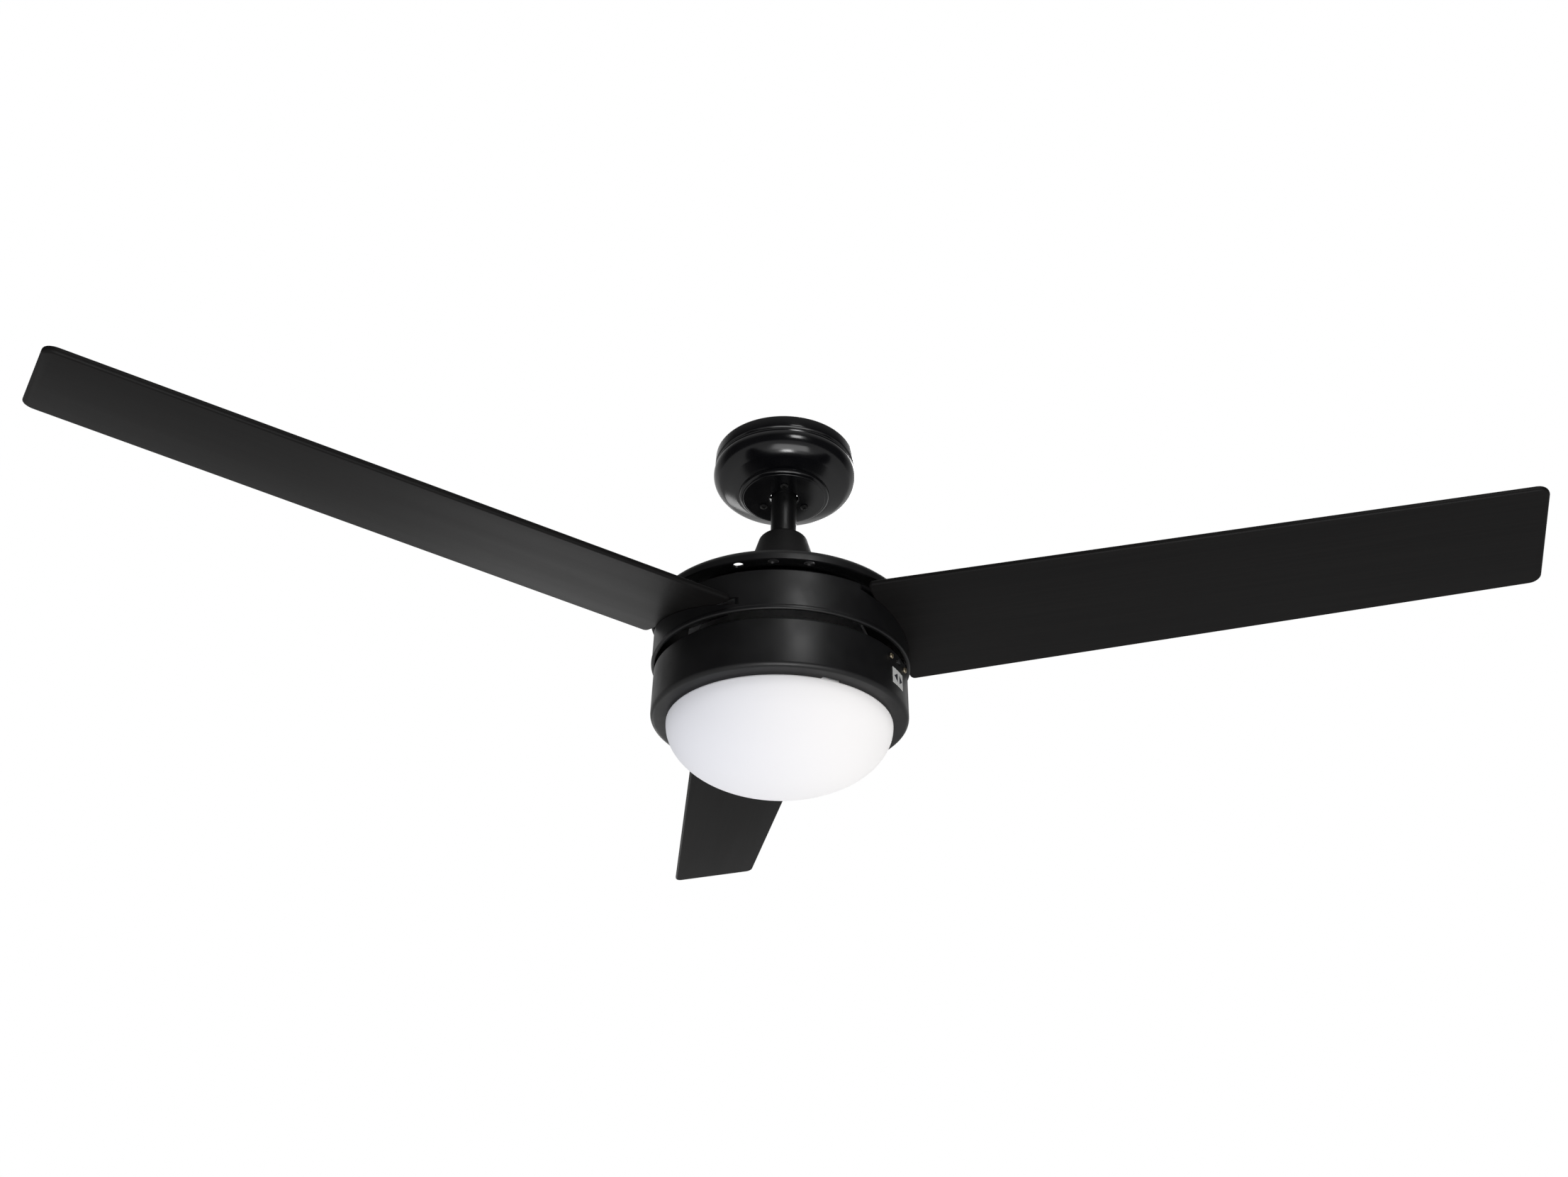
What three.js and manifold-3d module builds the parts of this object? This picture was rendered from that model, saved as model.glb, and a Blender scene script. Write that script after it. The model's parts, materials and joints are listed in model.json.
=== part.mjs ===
// A ceiling fan with a light: a canopy and downrod, a motor with three pitched
// blades, and a light kit with an opal glass dome. Millimetres, +Z up.
// The origin is on the ceiling, on the fan's axis, so everything hangs below z = 0.
// Blade 1 points close to +X, and the reverse switch is on that side too.
import * as THREE from "three";
import { mergeVertices } from "three/addons/utils/BufferGeometryUtils.js";
import Module from "manifold-3d";

const wasm = await Module();
wasm.setup();

// ---- driving dimensions ----------------------------------------------------

const GAP = 0.3; // between pieces that touch
const FINE = 32; // sides of the large turned pieces
const HIDDEN = 24; // sides of the large turned pieces inside the covers
const COARSE = 18; // sides of the small turned pieces
const SMALL = 8; // sides of screws and their holes
const BLADE_COUNT = 3;

const SWEEP_RADIUS = 660; // 52 in sweep
const BLADE_PLANE = -240; // height of the rotor ring's middle
const FIRST_BLADE = THREE.MathUtils.degToRad(-22);
const BLADE_PITCH = THREE.MathUtils.degToRad(-11.5);
const BLADE_DROOP = THREE.MathUtils.degToRad(1.5);
const BLADE_RISE = 6.7; // the drooping blade's height over the blade plane, at the axis
const BLADE_THICK = 5.5;
const BLADE_TIP_HALF = 55.4;
const BLADE_ROOT_HALF = 72;
const BLADE_SHOULDER = 112; // where the blade's full width starts
const BLADE_CORNER = 9; // rounding of the tip's corners
const TONGUE_START = 90;
const TONGUE_HALF = 40;
const BLADE_SCREW = { along: 103, across: 22, hole: 2.6 };

const CANOPY_RADIUS = 74;
const CANOPY_BOTTOM = -54;
const CANOPY_LIP_RADIUS = 45;
const CANOPY_SCREW_RADIUS = 25;
const CANOPY_SCREW_ANGLES = [-90, 30, 150].map(THREE.MathUtils.degToRad);
const SHEET = 1.5; // thickness of the pressed covers

const BOX_SCREW_OFFSET = 44.5; // half the 3 1/2 in spacing of an outlet box's screws
const BALL_RADIUS = 22;
const BALL_CENTRE = -22.3;
const BALL_TOP = -9;
const BALL_BOTTOM = -38.6;
const ROD_RADIUS = 13.35; // 3/4 in pipe
const ROD_BORE = 10;
const ROD_TOP = -6;
const ROD_BOTTOM = -150;
const PIN_RADIUS = 3;
const CLEVIS_HEIGHT = -140;
const COVER_TOP = -107;
const COVER_BOTTOM = -175.7;
const COVER_SHOULDER = 24.2; // the cone's radius at its top and at its foot
const COVER_FOOT = 43.4;

const SHAFT_RADIUS = 8;
const SHAFT_BORE = 5;
const SHAFT_TOP = -165;
const SHAFT_BOTTOM = -292;
const RIM_RADIUS = 127.5; // top cover
const RIM_BOTTOM = -211;
const CROWN_TOP = -176;
const VENT_GROUPS = 4;
const VENTS_IN_GROUP = 3;
const VENT_RADIUS = 107.3;
const VENT_PITCH = THREE.MathUtils.degToRad(18); // between the vents of a group
const VENT_FIRST = THREE.MathUtils.degToRad(-112.5);
const VENT_HALF = [4.1, 5]; // along the radius and across it
const RING_RADIUS = 125; // rotor ring
const RING_TOP = -219;
const RING_BOTTOM = -261;
const RING_WALL = 3;
const WEB_INNER = 86; // the web inside the ring's top, which lies on the shells' flanges
const WEB_THICK = 2;
const SHELL_RADIUS = 83; // motor shells
const FLANGE_RADIUS = 92;
const FLANGE_TOP = RING_TOP - WEB_THICK - GAP;
const FLANGE_SPLIT = FLANGE_TOP - 2;
const BEARING_RADIUS = 17;
const UPPER_BEARING = -190;
const LOWER_BEARING = -259;
const TOOTH_COUNT = 12; // stator
const STACK = [-236, -216];

const PLATE_TOP = -266; // light kit
const PLATE_BOTTOM = -268;
const PAN_RADIUS = 122.5;
const PAN_TOP = -268.3;
const PAN_BOTTOM = -316;
const PAN_MOUTH = 104;
const PAN_SCREW_RADIUS = 112;
const PAN_SCREW_ANGLES = [-124, -4, 116].map(THREE.MathUtils.degToRad);
const LUG_REACH = 3; // the dome collar's lugs past the pan's mouth
const LUG_ANGLES = [30, 150, 270].map(THREE.MathUtils.degToRad);
const DOME_TURN = THREE.MathUtils.degToRad(25); // from the lugs to their notches
const DOME_RADIUS = 107.5;
const DOME_TOP = -316.6;
const DOME_DEPTH = 62;
const DOME_WALL = 3;
const SWITCH_ANGLE = THREE.MathUtils.degToRad(-27.4);
const SWITCH_HEIGHT = -277;
const SWITCH_SCREW_PITCH = 16; // from the switch's middle to each screw
const SLIDER_REST = -2;
const LABEL_ACROSS = [-13.7, 7.9]; // from the switch's middle, along the slide
const LABEL_BELOW = [-25.5, -10]; // from the switch's middle, in height
const LAMP_HEIGHT = -322;

// ---- materials -------------------------------------------------------------

const FINISHES = {
  satin_black: { color: 0x17171a, roughness: 0.38, metalness: 0.6 },
  matt_black: { color: 0x141415, roughness: 0.7, metalness: 0.3 },
  blade_black: { color: 0x1b1716, roughness: 0.55, metalness: 0.0 },
  zinc: { color: 0x9a9c9e, roughness: 0.35, metalness: 1.0 },
  steel: { color: 0x74777b, roughness: 0.4, metalness: 1.0 },
  lamination: { color: 0x4c4e52, roughness: 0.6, metalness: 0.8 },
  copper: { color: 0x9a5326, roughness: 0.35, metalness: 0.9 },
  brass: { color: 0xa98446, roughness: 0.3, metalness: 1.0 },
  nylon: { color: 0x1e1e1f, roughness: 0.5, metalness: 0.0 },
  label: { color: 0xe6e6e2, roughness: 0.6, metalness: 0.0 },
  reflector: { color: 0xf1f1ee, roughness: 0.4, metalness: 0.0 },
  porcelain: { color: 0xe9e6dc, roughness: 0.25, metalness: 0.0 },
  opal_glass: { color: 0xf2f3f5, roughness: 0.15, metalness: 0.0 },
  lead_sleeve: { color: 0x2a2a2c, roughness: 0.6, metalness: 0.0 },
};

// ---- solids ----------------------------------------------------------------

// A closed geometry as a manifold solid, for joining and cutting.
function solidOf(geometry) {
  const bare = new THREE.BufferGeometry();
  bare.setAttribute("position", geometry.getAttribute("position").clone());
  bare.setIndex(geometry.index);
  const merged = mergeVertices(bare, 1e-4);
  const mesh = new wasm.Mesh({
    numProp: 3,
    vertProperties: merged.attributes.position.array,
    triVerts: new Uint32Array(merged.index.array),
  });
  return new wasm.Manifold(mesh);
}

function geometryOf(solid) {
  const mesh = solid.getMesh();
  const geometry = new THREE.BufferGeometry();
  geometry.setAttribute("position", new THREE.BufferAttribute(mesh.vertProperties, 3));
  geometry.setIndex(new THREE.BufferAttribute(mesh.triVerts, 1));
  geometry.computeVertexNormals();
  return geometry;
}

function cut(geometry, ...cutters) {
  const solid = cutters.reduce((left, tool) => left.subtract(solidOf(tool)), solidOf(geometry));
  return geometryOf(solid);
}

function join(...geometries) {
  return geometryOf(geometries.map(solidOf).reduce((a, b) => a.add(b)));
}

function common(a, b) {
  return geometryOf(solidOf(a).intersect(solidOf(b)));
}

// A solid turned about Z from [radius, height] points that run round its section.
function turned(points, sides = FINE) {
  const area = points.reduce((sum, [r, z], i) => {
    const [nextR, nextZ] = points[(i + 1) % points.length];
    return sum + r * nextZ - nextR * z;
  }, 0);
  const ordered = area > 0 ? points : [...points].reverse();
  const profile = [...ordered, ordered[0]].map(([r, z]) => new THREE.Vector2(r, z));
  return new THREE.LatheGeometry(profile, sides).rotateX(Math.PI / 2);
}

function tube(outer, inner, low, high, sides = COARSE) {
  return turned([[inner, low], [outer, low], [outer, high], [inner, high]], sides);
}

// A round bar along Z between two heights.
function bar(radius, low, high, sides = COARSE) {
  const length = high - low;
  return new THREE.CylinderGeometry(radius, radius, length, sides)
    .rotateX(Math.PI / 2)
    .translate(0, 0, (low + high) / 2);
}

// The same bar along X.
function crossBar(radius, low, high, sides = COARSE) {
  return bar(radius, low, high, sides).rotateY(Math.PI / 2);
}

function box([x0, x1], [y0, y1], [z0, z1]) {
  return new THREE.BoxGeometry(x1 - x0, y1 - y0, z1 - z0)
    .translate((x0 + x1) / 2, (y0 + y1) / 2, (z0 + z1) / 2);
}

// Points on an arc in a section, from one angle to another, in degrees.
function arc(centreR, centreZ, radiusR, radiusZ, from, to, steps) {
  return Array.from({ length: steps + 1 }, (_, i) => {
    const angle = THREE.MathUtils.degToRad(from + ((to - from) * i) / steps);
    return [centreR + radiusR * Math.cos(angle), centreZ + radiusZ * Math.sin(angle)];
  });
}

// The inner side of a pressed sheet: the outer points moved square to the outline.
function offsetProfile(points, distance) {
  return points.map(([r, z], i) => {
    const [r0, z0] = points[Math.max(i - 1, 0)];
    const [r1, z1] = points[Math.min(i + 1, points.length - 1)];
    const length = Math.hypot(r1 - r0, z1 - z0);
    return [r + ((z1 - z0) / length) * distance, z - ((r1 - r0) / length) * distance];
  });
}

// A pressed cover: an outline from its top to its bottom, with its thickness inside.
function pressed(outline, thickness = SHEET, sides = FINE) {
  return turned([...outline, ...offsetProfile(outline, thickness).reverse()], sides);
}

// A screw along Z with a domed head below its shank; the head's seat is at z = 0.
function screw(shank, length, head, headHeight) {
  const section = [
    [0, length], [shank, length], [shank, 0], [head, 0],
    [head, -headHeight * 0.5], [head * 0.6, -headHeight], [0, -headHeight],
  ];
  return turned(section, SMALL);
}

// ---- the scene -------------------------------------------------------------

const fan = new THREE.Group();

function add(name, geometry, finish, parent = fan) {
  const mesh = new THREE.Mesh(geometry, new THREE.MeshStandardMaterial(FINISHES[finish]));
  mesh.name = name;
  parent.add(mesh);
  return mesh;
}

// ---- ceiling: bracket, ball and canopy -------------------------------------

// A strap bent into a U under its ceiling plate, with a seat for the ball that is
// open towards +Y, where the rod slides in.
function ceilingBracket() {
  const half = 19;
  const legs = [-32, 30].map((x) => box([x, x + 2], [-half, half], [-37.9, -1]));
  const plate = box([-54, 54], [-half, half], [-2, 0]);
  const seat = box([-32, 32], [-half, half], [-38, -36]);
  const boxSlots = [-1, 1].map((side) =>
    box([-2.5, 2.5], [-8, 8], [-3, 1]).translate(side * BOX_SCREW_OFFSET, 0, 0));
  const mouth = box([-14.5, 14.5], [0, half + 1], [-40, -34]);
  return cut(join(plate, seat, ...legs), ...boxSlots, bar(17.5, -40, -34), mouth);
}

function hangerBall() {
  const angle = (z) => THREE.MathUtils.radToDeg(Math.asin((z - BALL_CENTRE) / BALL_RADIUS));
  const ends = [angle(BALL_BOTTOM), angle(BALL_TOP)];
  const round = arc(0, BALL_CENTRE, BALL_RADIUS, BALL_RADIUS, ...ends, 7);
  const bore = ROD_RADIUS + GAP;
  const ball = turned([[bore, BALL_BOTTOM], ...round, [bore, BALL_TOP]], COARSE);
  const pinHole = crossBar(PIN_RADIUS + GAP, -30, 30).translate(0, 0, BALL_CENTRE);
  const screwHole = bar(2.4, 0, 30, SMALL).rotateX(-Math.PI / 2).translate(0, 0, -15);
  return cut(ball, pinHole, screwHole);
}

// The bowl, from its band and groove through the belly and neck to the lower lip.
function canopyShell() {
  const band = CANOPY_RADIUS - 1.5;
  const outline = [
    [band - 1, -1.5], [band, -2.5], [band + 0.5, -13], [band - 0.8, -14.5],
    [band - 0.8, -16.5], [band + 0.8, -18],
    ...arc(CANOPY_RADIUS - 24, -26, 24, 20, 20, -62, 4),
    [CANOPY_LIP_RADIUS + 6, -46.5], [CANOPY_LIP_RADIUS + 1.5, -47.8],
    [CANOPY_LIP_RADIUS + 0.5, -51], [CANOPY_LIP_RADIUS - 1, CANOPY_BOTTOM + 2.3],
  ];
  const floor = CANOPY_BOTTOM + 2.3;
  const inner = offsetProfile(outline.slice(1, -3), SHEET + 0.4).reverse();
  const section = [
    ...outline, [18.5, floor], [18.5, floor + SHEET],
    [CANOPY_LIP_RADIUS - 3, floor + SHEET], ...inner,
  ];
  return cut(turned(section), ...canopyScrewHoles());
}

function around(radius, angle, geometry) {
  return geometry.translate(radius, 0, 0).rotateZ(angle);
}

function canopyScrewHoles() {
  return CANOPY_SCREW_ANGLES.map((a) => around(CANOPY_SCREW_RADIUS, a, bar(2.5, -60, -45, SMALL)));
}

function canopyBottomRing() {
  const top = CANOPY_BOTTOM + 2;
  const lip = CANOPY_LIP_RADIUS - 1.2;
  const ring = turned([
    [17, top], [lip, top], [lip, CANOPY_BOTTOM + 0.8], [lip - 0.8, CANOPY_BOTTOM],
    [17.6, CANOPY_BOTTOM], [17, CANOPY_BOTTOM + 0.6],
  ]);
  return cut(ring, ...canopyScrewHoles());
}

function addCeilingPieces() {
  add("ceiling_bracket", ceilingBracket(), "matt_black");
  add("hanger_ball", hangerBall(), "nylon");
  add("hanger_pin", crossBar(PIN_RADIUS, -20, 20, 12).translate(0, 0, BALL_CENTRE), "steel");
  const grub = bar(2, ROD_RADIUS + 0.2, 20.5, SMALL).rotateX(-Math.PI / 2);
  add("hanger_set_screw", grub.translate(0, 0, -15), "steel");
  add("canopy", canopyShell(), "satin_black");
  add("canopy_bottom_ring", canopyBottomRing(), "satin_black");
  CANOPY_SCREW_ANGLES.forEach((angle, i) => {
    const body = screw(2, 9, 4, 2.2).translate(0, 0, CANOPY_BOTTOM - GAP);
    add(`canopy_screw_${i + 1}`, around(CANOPY_SCREW_RADIUS, angle, body), "matt_black");
  });
}

// ---- downrod and coupling --------------------------------------------------

function downrod() {
  const rod = tube(ROD_RADIUS, ROD_BORE, ROD_BOTTOM, ROD_TOP);
  const holes = [BALL_CENTRE, CLEVIS_HEIGHT].map((z) =>
    crossBar(PIN_RADIUS + GAP, -30, 30, 12).translate(0, 0, z));
  return cut(rod, ...holes);
}

// The cast socket that takes the rod, on a flange round the top of the motor shaft.
function motorCoupling() {
  const socket = ROD_RADIUS + GAP;
  const neck = SHAFT_RADIUS + GAP;
  const body = turned([
    [socket, -120], [18, -120], [18.5, -121], [18.5, -166], [27, -169],
    [27, -175.6], [neck, -175.6], [neck, -164], [socket, -160],
  ], COARSE);
  const clevisHole = crossBar(PIN_RADIUS + GAP, -30, 30, 12).translate(0, 0, CLEVIS_HEIGHT);
  const screwHoles = bar(3.4, -30, 30, SMALL).rotateX(Math.PI / 2).translate(0, 0, -128);
  return cut(body, clevisHole, screwHoles);
}

// A pin along X with a flat head and a cross hole for its clip.
function clevisPin() {
  const pin = join(crossBar(PIN_RADIUS, -22, 25, 12), crossBar(5, -24, -21, 12));
  return cut(pin, bar(1.4, -6, 6, 8).translate(22, 0, 0)).translate(0, 0, CLEVIS_HEIGHT);
}

// A split pin: a straight leg under a round eye.
function splitPin() {
  const eye = new THREE.TorusGeometry(2.6, 0.9, 6, 12).rotateX(Math.PI / 2).translate(0, 0, 6.6);
  return join(bar(1, -6, 5, 8), eye).translate(22, 0, CLEVIS_HEIGHT);
}

// A cone with a rounded shoulder under its flat top.
function couplingCover() {
  const hole = ROD_RADIUS + 0.9;
  const corner = 3.3;
  const flat = COVER_SHOULDER - corner - 0.1;
  const outline = [
    [hole, COVER_TOP], [flat, COVER_TOP], ...arc(flat, COVER_TOP - corner, corner, corner, 70, 15, 2),
    [COVER_SHOULDER, COVER_TOP - corner], [COVER_FOOT, COVER_BOTTOM],
  ];
  const inner = [
    [COVER_FOOT - 1.8, COVER_BOTTOM], [COVER_SHOULDER - 1.7, COVER_TOP - corner - 0.3],
    [flat - 0.3, COVER_TOP - SHEET], [hole, COVER_TOP - SHEET],
  ];
  return turned([...outline, ...inner]);
}

// The motor leads: beside the two cross pins inside the rod, then on the axis.
function leadBundle() {
  const beside = 6.4;
  const route = new THREE.CurvePath();
  const straight = (a, b) => route.add(new THREE.LineCurve3(a, b));
  const at = (y, z) => new THREE.Vector3(0, y, z);
  straight(at(beside, -4.5), at(beside, -145.5));
  const bend = [at(beside, -145.5), at(beside, -153), at(0, -157), at(0, -164)];
  route.add(new THREE.CubicBezierCurve3(...bend));
  straight(at(0, -164), at(0, SHAFT_BOTTOM - 3));
  const section = new THREE.Shape().absarc(0, 0, 2.4, 0, Math.PI * 2);
  return new THREE.ExtrudeGeometry(section, {
    steps: 30, curveSegments: 4, bevelEnabled: false, extrudePath: route,
  });
}

function addSuspension() {
  add("downrod", downrod(), "satin_black");
  add("motor_coupling", motorCoupling(), "zinc");
  add("coupling_pin", clevisPin(), "steel");
  add("coupling_clip", splitPin(), "steel");
  [1, -1].forEach((side, i) => {
    const grub = bar(3, ROD_RADIUS + 0.2, 23, SMALL).rotateX((-side * Math.PI) / 2);
    add(`coupling_set_screw_${i + 1}`, grub.translate(0, 0, -128), "steel");
  });
  add("coupling_cover", couplingCover(), "matt_black");
  add("lead_bundle", leadBundle(), "lead_sleeve");
}

// ---- motor: fixed side -----------------------------------------------------

function motorShaft() {
  const shoulder = tube(11, SHAFT_BORE, PLATE_TOP + GAP, -261.5);
  return join(tube(SHAFT_RADIUS, SHAFT_BORE, SHAFT_BOTTOM, SHAFT_TOP), shoulder);
}

// The disc over the rotor: a rounded rim, groups of oval vents and a raised crown.
function motorTopCover() {
  const top = RIM_BOTTOM + 10;
  const outer = [
    [SHAFT_RADIUS + GAP, CROWN_TOP], [60, CROWN_TOP], [63, CROWN_TOP - 1.5], [96, top + 4],
    [102, top + 1], [RIM_RADIUS - 7, top], ...arc(RIM_RADIUS - 5, top - 5, 5, 5, 75, 0, 3),
    [RIM_RADIUS, RIM_BOTTOM],
  ];
  const inner = [
    [RIM_RADIUS - 2, RIM_BOTTOM], [RIM_RADIUS - 2, top - 5], [RIM_RADIUS - 6, top - 2],
    [101, top - 1], [95, top + 2], [62, CROWN_TOP - 3.5], [59, CROWN_TOP - 2],
    [SHAFT_RADIUS + GAP, CROWN_TOP - 2],
  ];
  const [along, across] = VENT_HALF;
  const vent = () => bar(1, top - 6, top + 6, 12).scale(along, across, 1);
  const vents = Array.from({ length: VENT_GROUPS * VENTS_IN_GROUP }, (_, i) => {
    const group = (Math.floor(i / VENTS_IN_GROUP) / VENT_GROUPS) * Math.PI * 2;
    return around(VENT_RADIUS, VENT_FIRST + group + (i % VENTS_IN_GROUP) * VENT_PITCH, vent());
  });
  return cut(turned([...outer, ...inner]), ...vents);
}

// Laminations: a hub with T-shaped teeth round it.
function statorCore() {
  const pitch = (Math.PI * 2) / TOOTH_COUNT;
  const outline = new THREE.Shape();
  const point = (r, a) => [r * Math.cos(a), r * Math.sin(a)];
  for (let i = 0; i < TOOTH_COUNT; i++) {
    const mid = i * pitch;
    const corners = [
      [38, -0.5 * pitch], [38, -0.18], [59, -0.115], [63, -0.225], [67, -0.225], [68, -0.11],
      [68, 0.11], [67, 0.225], [63, 0.225], [59, 0.115], [38, 0.18],
    ];
    corners.forEach(([r, a], j) => {
      const [x, y] = point(r, mid + a);
      if (i + j === 0) outline.moveTo(x, y);
      else outline.lineTo(x, y);
    });
  }
  outline.closePath();
  outline.holes.push(new THREE.Path().absarc(0, 0, SHAFT_RADIUS + GAP, 0, Math.PI * 2, true));
  const depth = STACK[1] - STACK[0];
  return new THREE.ExtrudeGeometry(outline, { depth, bevelEnabled: false, curveSegments: 16 })
    .translate(0, 0, STACK[0]);
}

// The windings: a bundle over each end of the stack, joined through the slots.
function statorWinding() {
  const bundle = (z) => turned([
    [44, z - 3], [50, z - 6], [57, z - 3], [57, z + 3], [50, z + 6], [44, z + 3],
  ], HIDDEN);
  const pitch = (Math.PI * 2) / TOOTH_COUNT;
  const sides = Array.from({ length: TOOTH_COUNT }, (_, i) =>
    box([46, 55], [-3.5, 3.5], [STACK[0] - 5, STACK[1] + 5]).rotateZ((i + 0.5) * pitch));
  return join(bundle(STACK[1] + 7), bundle(STACK[0] - 7), ...sides);
}

// A ball bearing with its shields, as one ring.
function bearing(low) {
  const high = low + 7;
  const inner = SHAFT_RADIUS + GAP;
  return turned([
    [inner, low], [BEARING_RADIUS - 0.6, low], [BEARING_RADIUS, low + 0.6],
    [BEARING_RADIUS, high - 0.6], [BEARING_RADIUS - 0.6, high], [inner, high],
  ], COARSE);
}

function addFixedMotor() {
  add("motor_shaft", motorShaft(), "steel");
  add("motor_top_cover", motorTopCover(), "satin_black");
  add("stator_core", statorCore(), "lamination");
  add("stator_winding", statorWinding(), "copper");
  add("upper_bearing", bearing(UPPER_BEARING), "steel");
  add("lower_bearing", bearing(LOWER_BEARING), "steel");
}

// ---- motor: turning side ---------------------------------------------------

// One half of the motor casing: a hub round a bearing, a sloping end and a flange.
// side is 1 for the upper half and -1 for the lower one.
function rotorShell(side, flangeFace, endHeight, hubEnd, seat) {
  const hub = BEARING_RADIUS + GAP;
  const step = (z, distance) => z + side * distance;
  const section = [
    [FLANGE_RADIUS, flangeFace], [FLANGE_RADIUS, step(flangeFace, 2)],
    [SHELL_RADIUS, step(flangeFace, 2)], [SHELL_RADIUS, step(endHeight, -3)],
    [SHELL_RADIUS - 3, endHeight], [hub + 4, step(seat, 2)], [hub + 4, hubEnd], [hub, hubEnd],
    [hub, seat], [12.5, seat], [12.5, step(seat, -1.5)], [hub + 4, step(seat, -1.5)],
    [SHELL_RADIUS - 5, step(endHeight, -2)], [SHELL_RADIUS - 2, step(endHeight, -4)],
    [SHELL_RADIUS - 2, flangeFace],
  ];
  return turned(section, HIDDEN);
}

// The ring that the blades come out of, with a web inside its top and a rolled lower edge.
function rotorRing() {
  const wall = RING_RADIUS - RING_WALL;
  const web = RING_TOP - WEB_THICK;
  const section = [
    [WEB_INNER, RING_TOP], [RING_RADIUS - 2, RING_TOP], [RING_RADIUS - 0.6, RING_TOP - 0.6],
    [RING_RADIUS, RING_TOP - 2], [RING_RADIUS, RING_BOTTOM + 4],
    ...arc(RING_RADIUS - 1.4, RING_BOTTOM + 2, 2, 2, 45, -90, 3),
    [wall, RING_BOTTOM], [wall, web], [WEB_INNER, web],
  ];
  const slots = bladeIndices.map((i) => bladeSlot().applyMatrix4(bladeFrame(i)));
  return cut(turned(section), ...slots);
}

const bladeIndices = Array.from({ length: BLADE_COUNT }, (_, i) => i);

// A blade's own frame: X along the blade, Y across it, Z square to its face.
function bladeFrame(index) {
  const turn = FIRST_BLADE + (index * Math.PI * 2) / BLADE_COUNT;
  return new THREE.Matrix4().makeRotationZ(turn)
    .multiply(new THREE.Matrix4().makeTranslation(0, 0, BLADE_PLANE + BLADE_RISE))
    .multiply(new THREE.Matrix4().makeRotationY(BLADE_DROOP))
    .multiply(new THREE.Matrix4().makeRotationX(BLADE_PITCH));
}

// The opening in the ring: the blade's root with a clear edge all round.
function bladeSlot() {
  const clear = 0.8;
  const half = BLADE_THICK / 2 + clear;
  const across = BLADE_ROOT_HALF + clear;
  return box([BLADE_SHOULDER - 8, 140], [-across, across], [-half, half]);
}

// A flat tapered plank with rounded tip corners and a narrower tongue for its iron.
function blade() {
  const corner = BLADE_CORNER;
  const shape = new THREE.Shape();
  const end = SWEEP_RADIUS - 1;
  shape.moveTo(TONGUE_START, -TONGUE_HALF);
  shape.lineTo(BLADE_SHOULDER, -TONGUE_HALF);
  shape.lineTo(BLADE_SHOULDER, -BLADE_ROOT_HALF + 5);
  shape.quadraticCurveTo(BLADE_SHOULDER, -BLADE_ROOT_HALF, BLADE_SHOULDER + 5, -BLADE_ROOT_HALF);
  shape.lineTo(end - corner, -BLADE_TIP_HALF);
  shape.quadraticCurveTo(end, -BLADE_TIP_HALF, end, -BLADE_TIP_HALF + corner);
  shape.lineTo(end, BLADE_TIP_HALF - corner);
  shape.quadraticCurveTo(end, BLADE_TIP_HALF, end - corner, BLADE_TIP_HALF);
  shape.lineTo(BLADE_SHOULDER + 5, BLADE_ROOT_HALF);
  shape.quadraticCurveTo(BLADE_SHOULDER, BLADE_ROOT_HALF, BLADE_SHOULDER, BLADE_ROOT_HALF - 5);
  shape.lineTo(BLADE_SHOULDER, TONGUE_HALF);
  shape.lineTo(TONGUE_START, TONGUE_HALF);
  shape.closePath();
  const plank = new THREE.ExtrudeGeometry(shape, {
    depth: BLADE_THICK, bevelEnabled: false, curveSegments: 4,
  }).translate(0, 0, -BLADE_THICK / 2);
  return cut(plank, ...bladeScrewHoles());
}

function bladeScrewHoles() {
  return [-1, 1].map((side) =>
    bar(BLADE_SCREW.hole, -10, 20, SMALL).translate(BLADE_SCREW.along, side * BLADE_SCREW.across, 0));
}

// The iron: a plate on the blade's tongue, with a foot up to the motor's flange.
function bladeIron(index) {
  const seat = BLADE_THICK / 2 + GAP;
  const plate = cut(
    box([FLANGE_RADIUS + 1, 116], [-28, 28], [seat, seat + 3]),
    ...bladeScrewHoles(),
  ).applyMatrix4(bladeFrame(index));
  const turn = FIRST_BLADE + (index * Math.PI * 2) / BLADE_COUNT;
  const footTop = FLANGE_SPLIT - 2 - 2 * GAP;
  const foot = box([SHELL_RADIUS + 2, 100], [-9, 9], [-229.5, footTop]).rotateZ(turn);
  const web = box([FLANGE_RADIUS + 1, 100], [-9, 9], [-230.4, -228]).rotateZ(turn);
  return join(plate, foot, web);
}

function addRotor() {
  const upperEnd = -198;
  const lowerEnd = -252;
  add("rotor_upper_shell", rotorShell(1, FLANGE_SPLIT, upperEnd, -182, UPPER_BEARING - GAP), "zinc");
  add("rotor_lower_shell",
    rotorShell(-1, FLANGE_SPLIT - GAP, lowerEnd, -260, LOWER_BEARING + 7 + GAP), "zinc");
  const core = tube(SHELL_RADIUS - 2 - GAP, 69.5, STACK[0] - 1, STACK[1] + 1, HIDDEN);
  add("rotor_core", core, "lamination");
  add("rotor_ring", rotorRing(), "satin_black");
  for (const index of bladeIndices) {
    const name = `blade_${index + 1}`;
    const frame = new THREE.Group();
    frame.applyMatrix4(bladeFrame(index));
    fan.add(frame);
    add(name, blade(), "blade_black", frame);
    add(`blade_iron_${index + 1}`, bladeIron(index), "zinc");
    [-1, 1].forEach((side, i) => {
      const body = screw(2.2, 11, 4.2, 2.4)
        .translate(BLADE_SCREW.along, side * BLADE_SCREW.across, -BLADE_THICK / 2 - GAP);
      add(`${name}_screw_${i + 1}`, body, "zinc", frame);
    });
  }
}

// ---- light kit -------------------------------------------------------------

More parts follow.
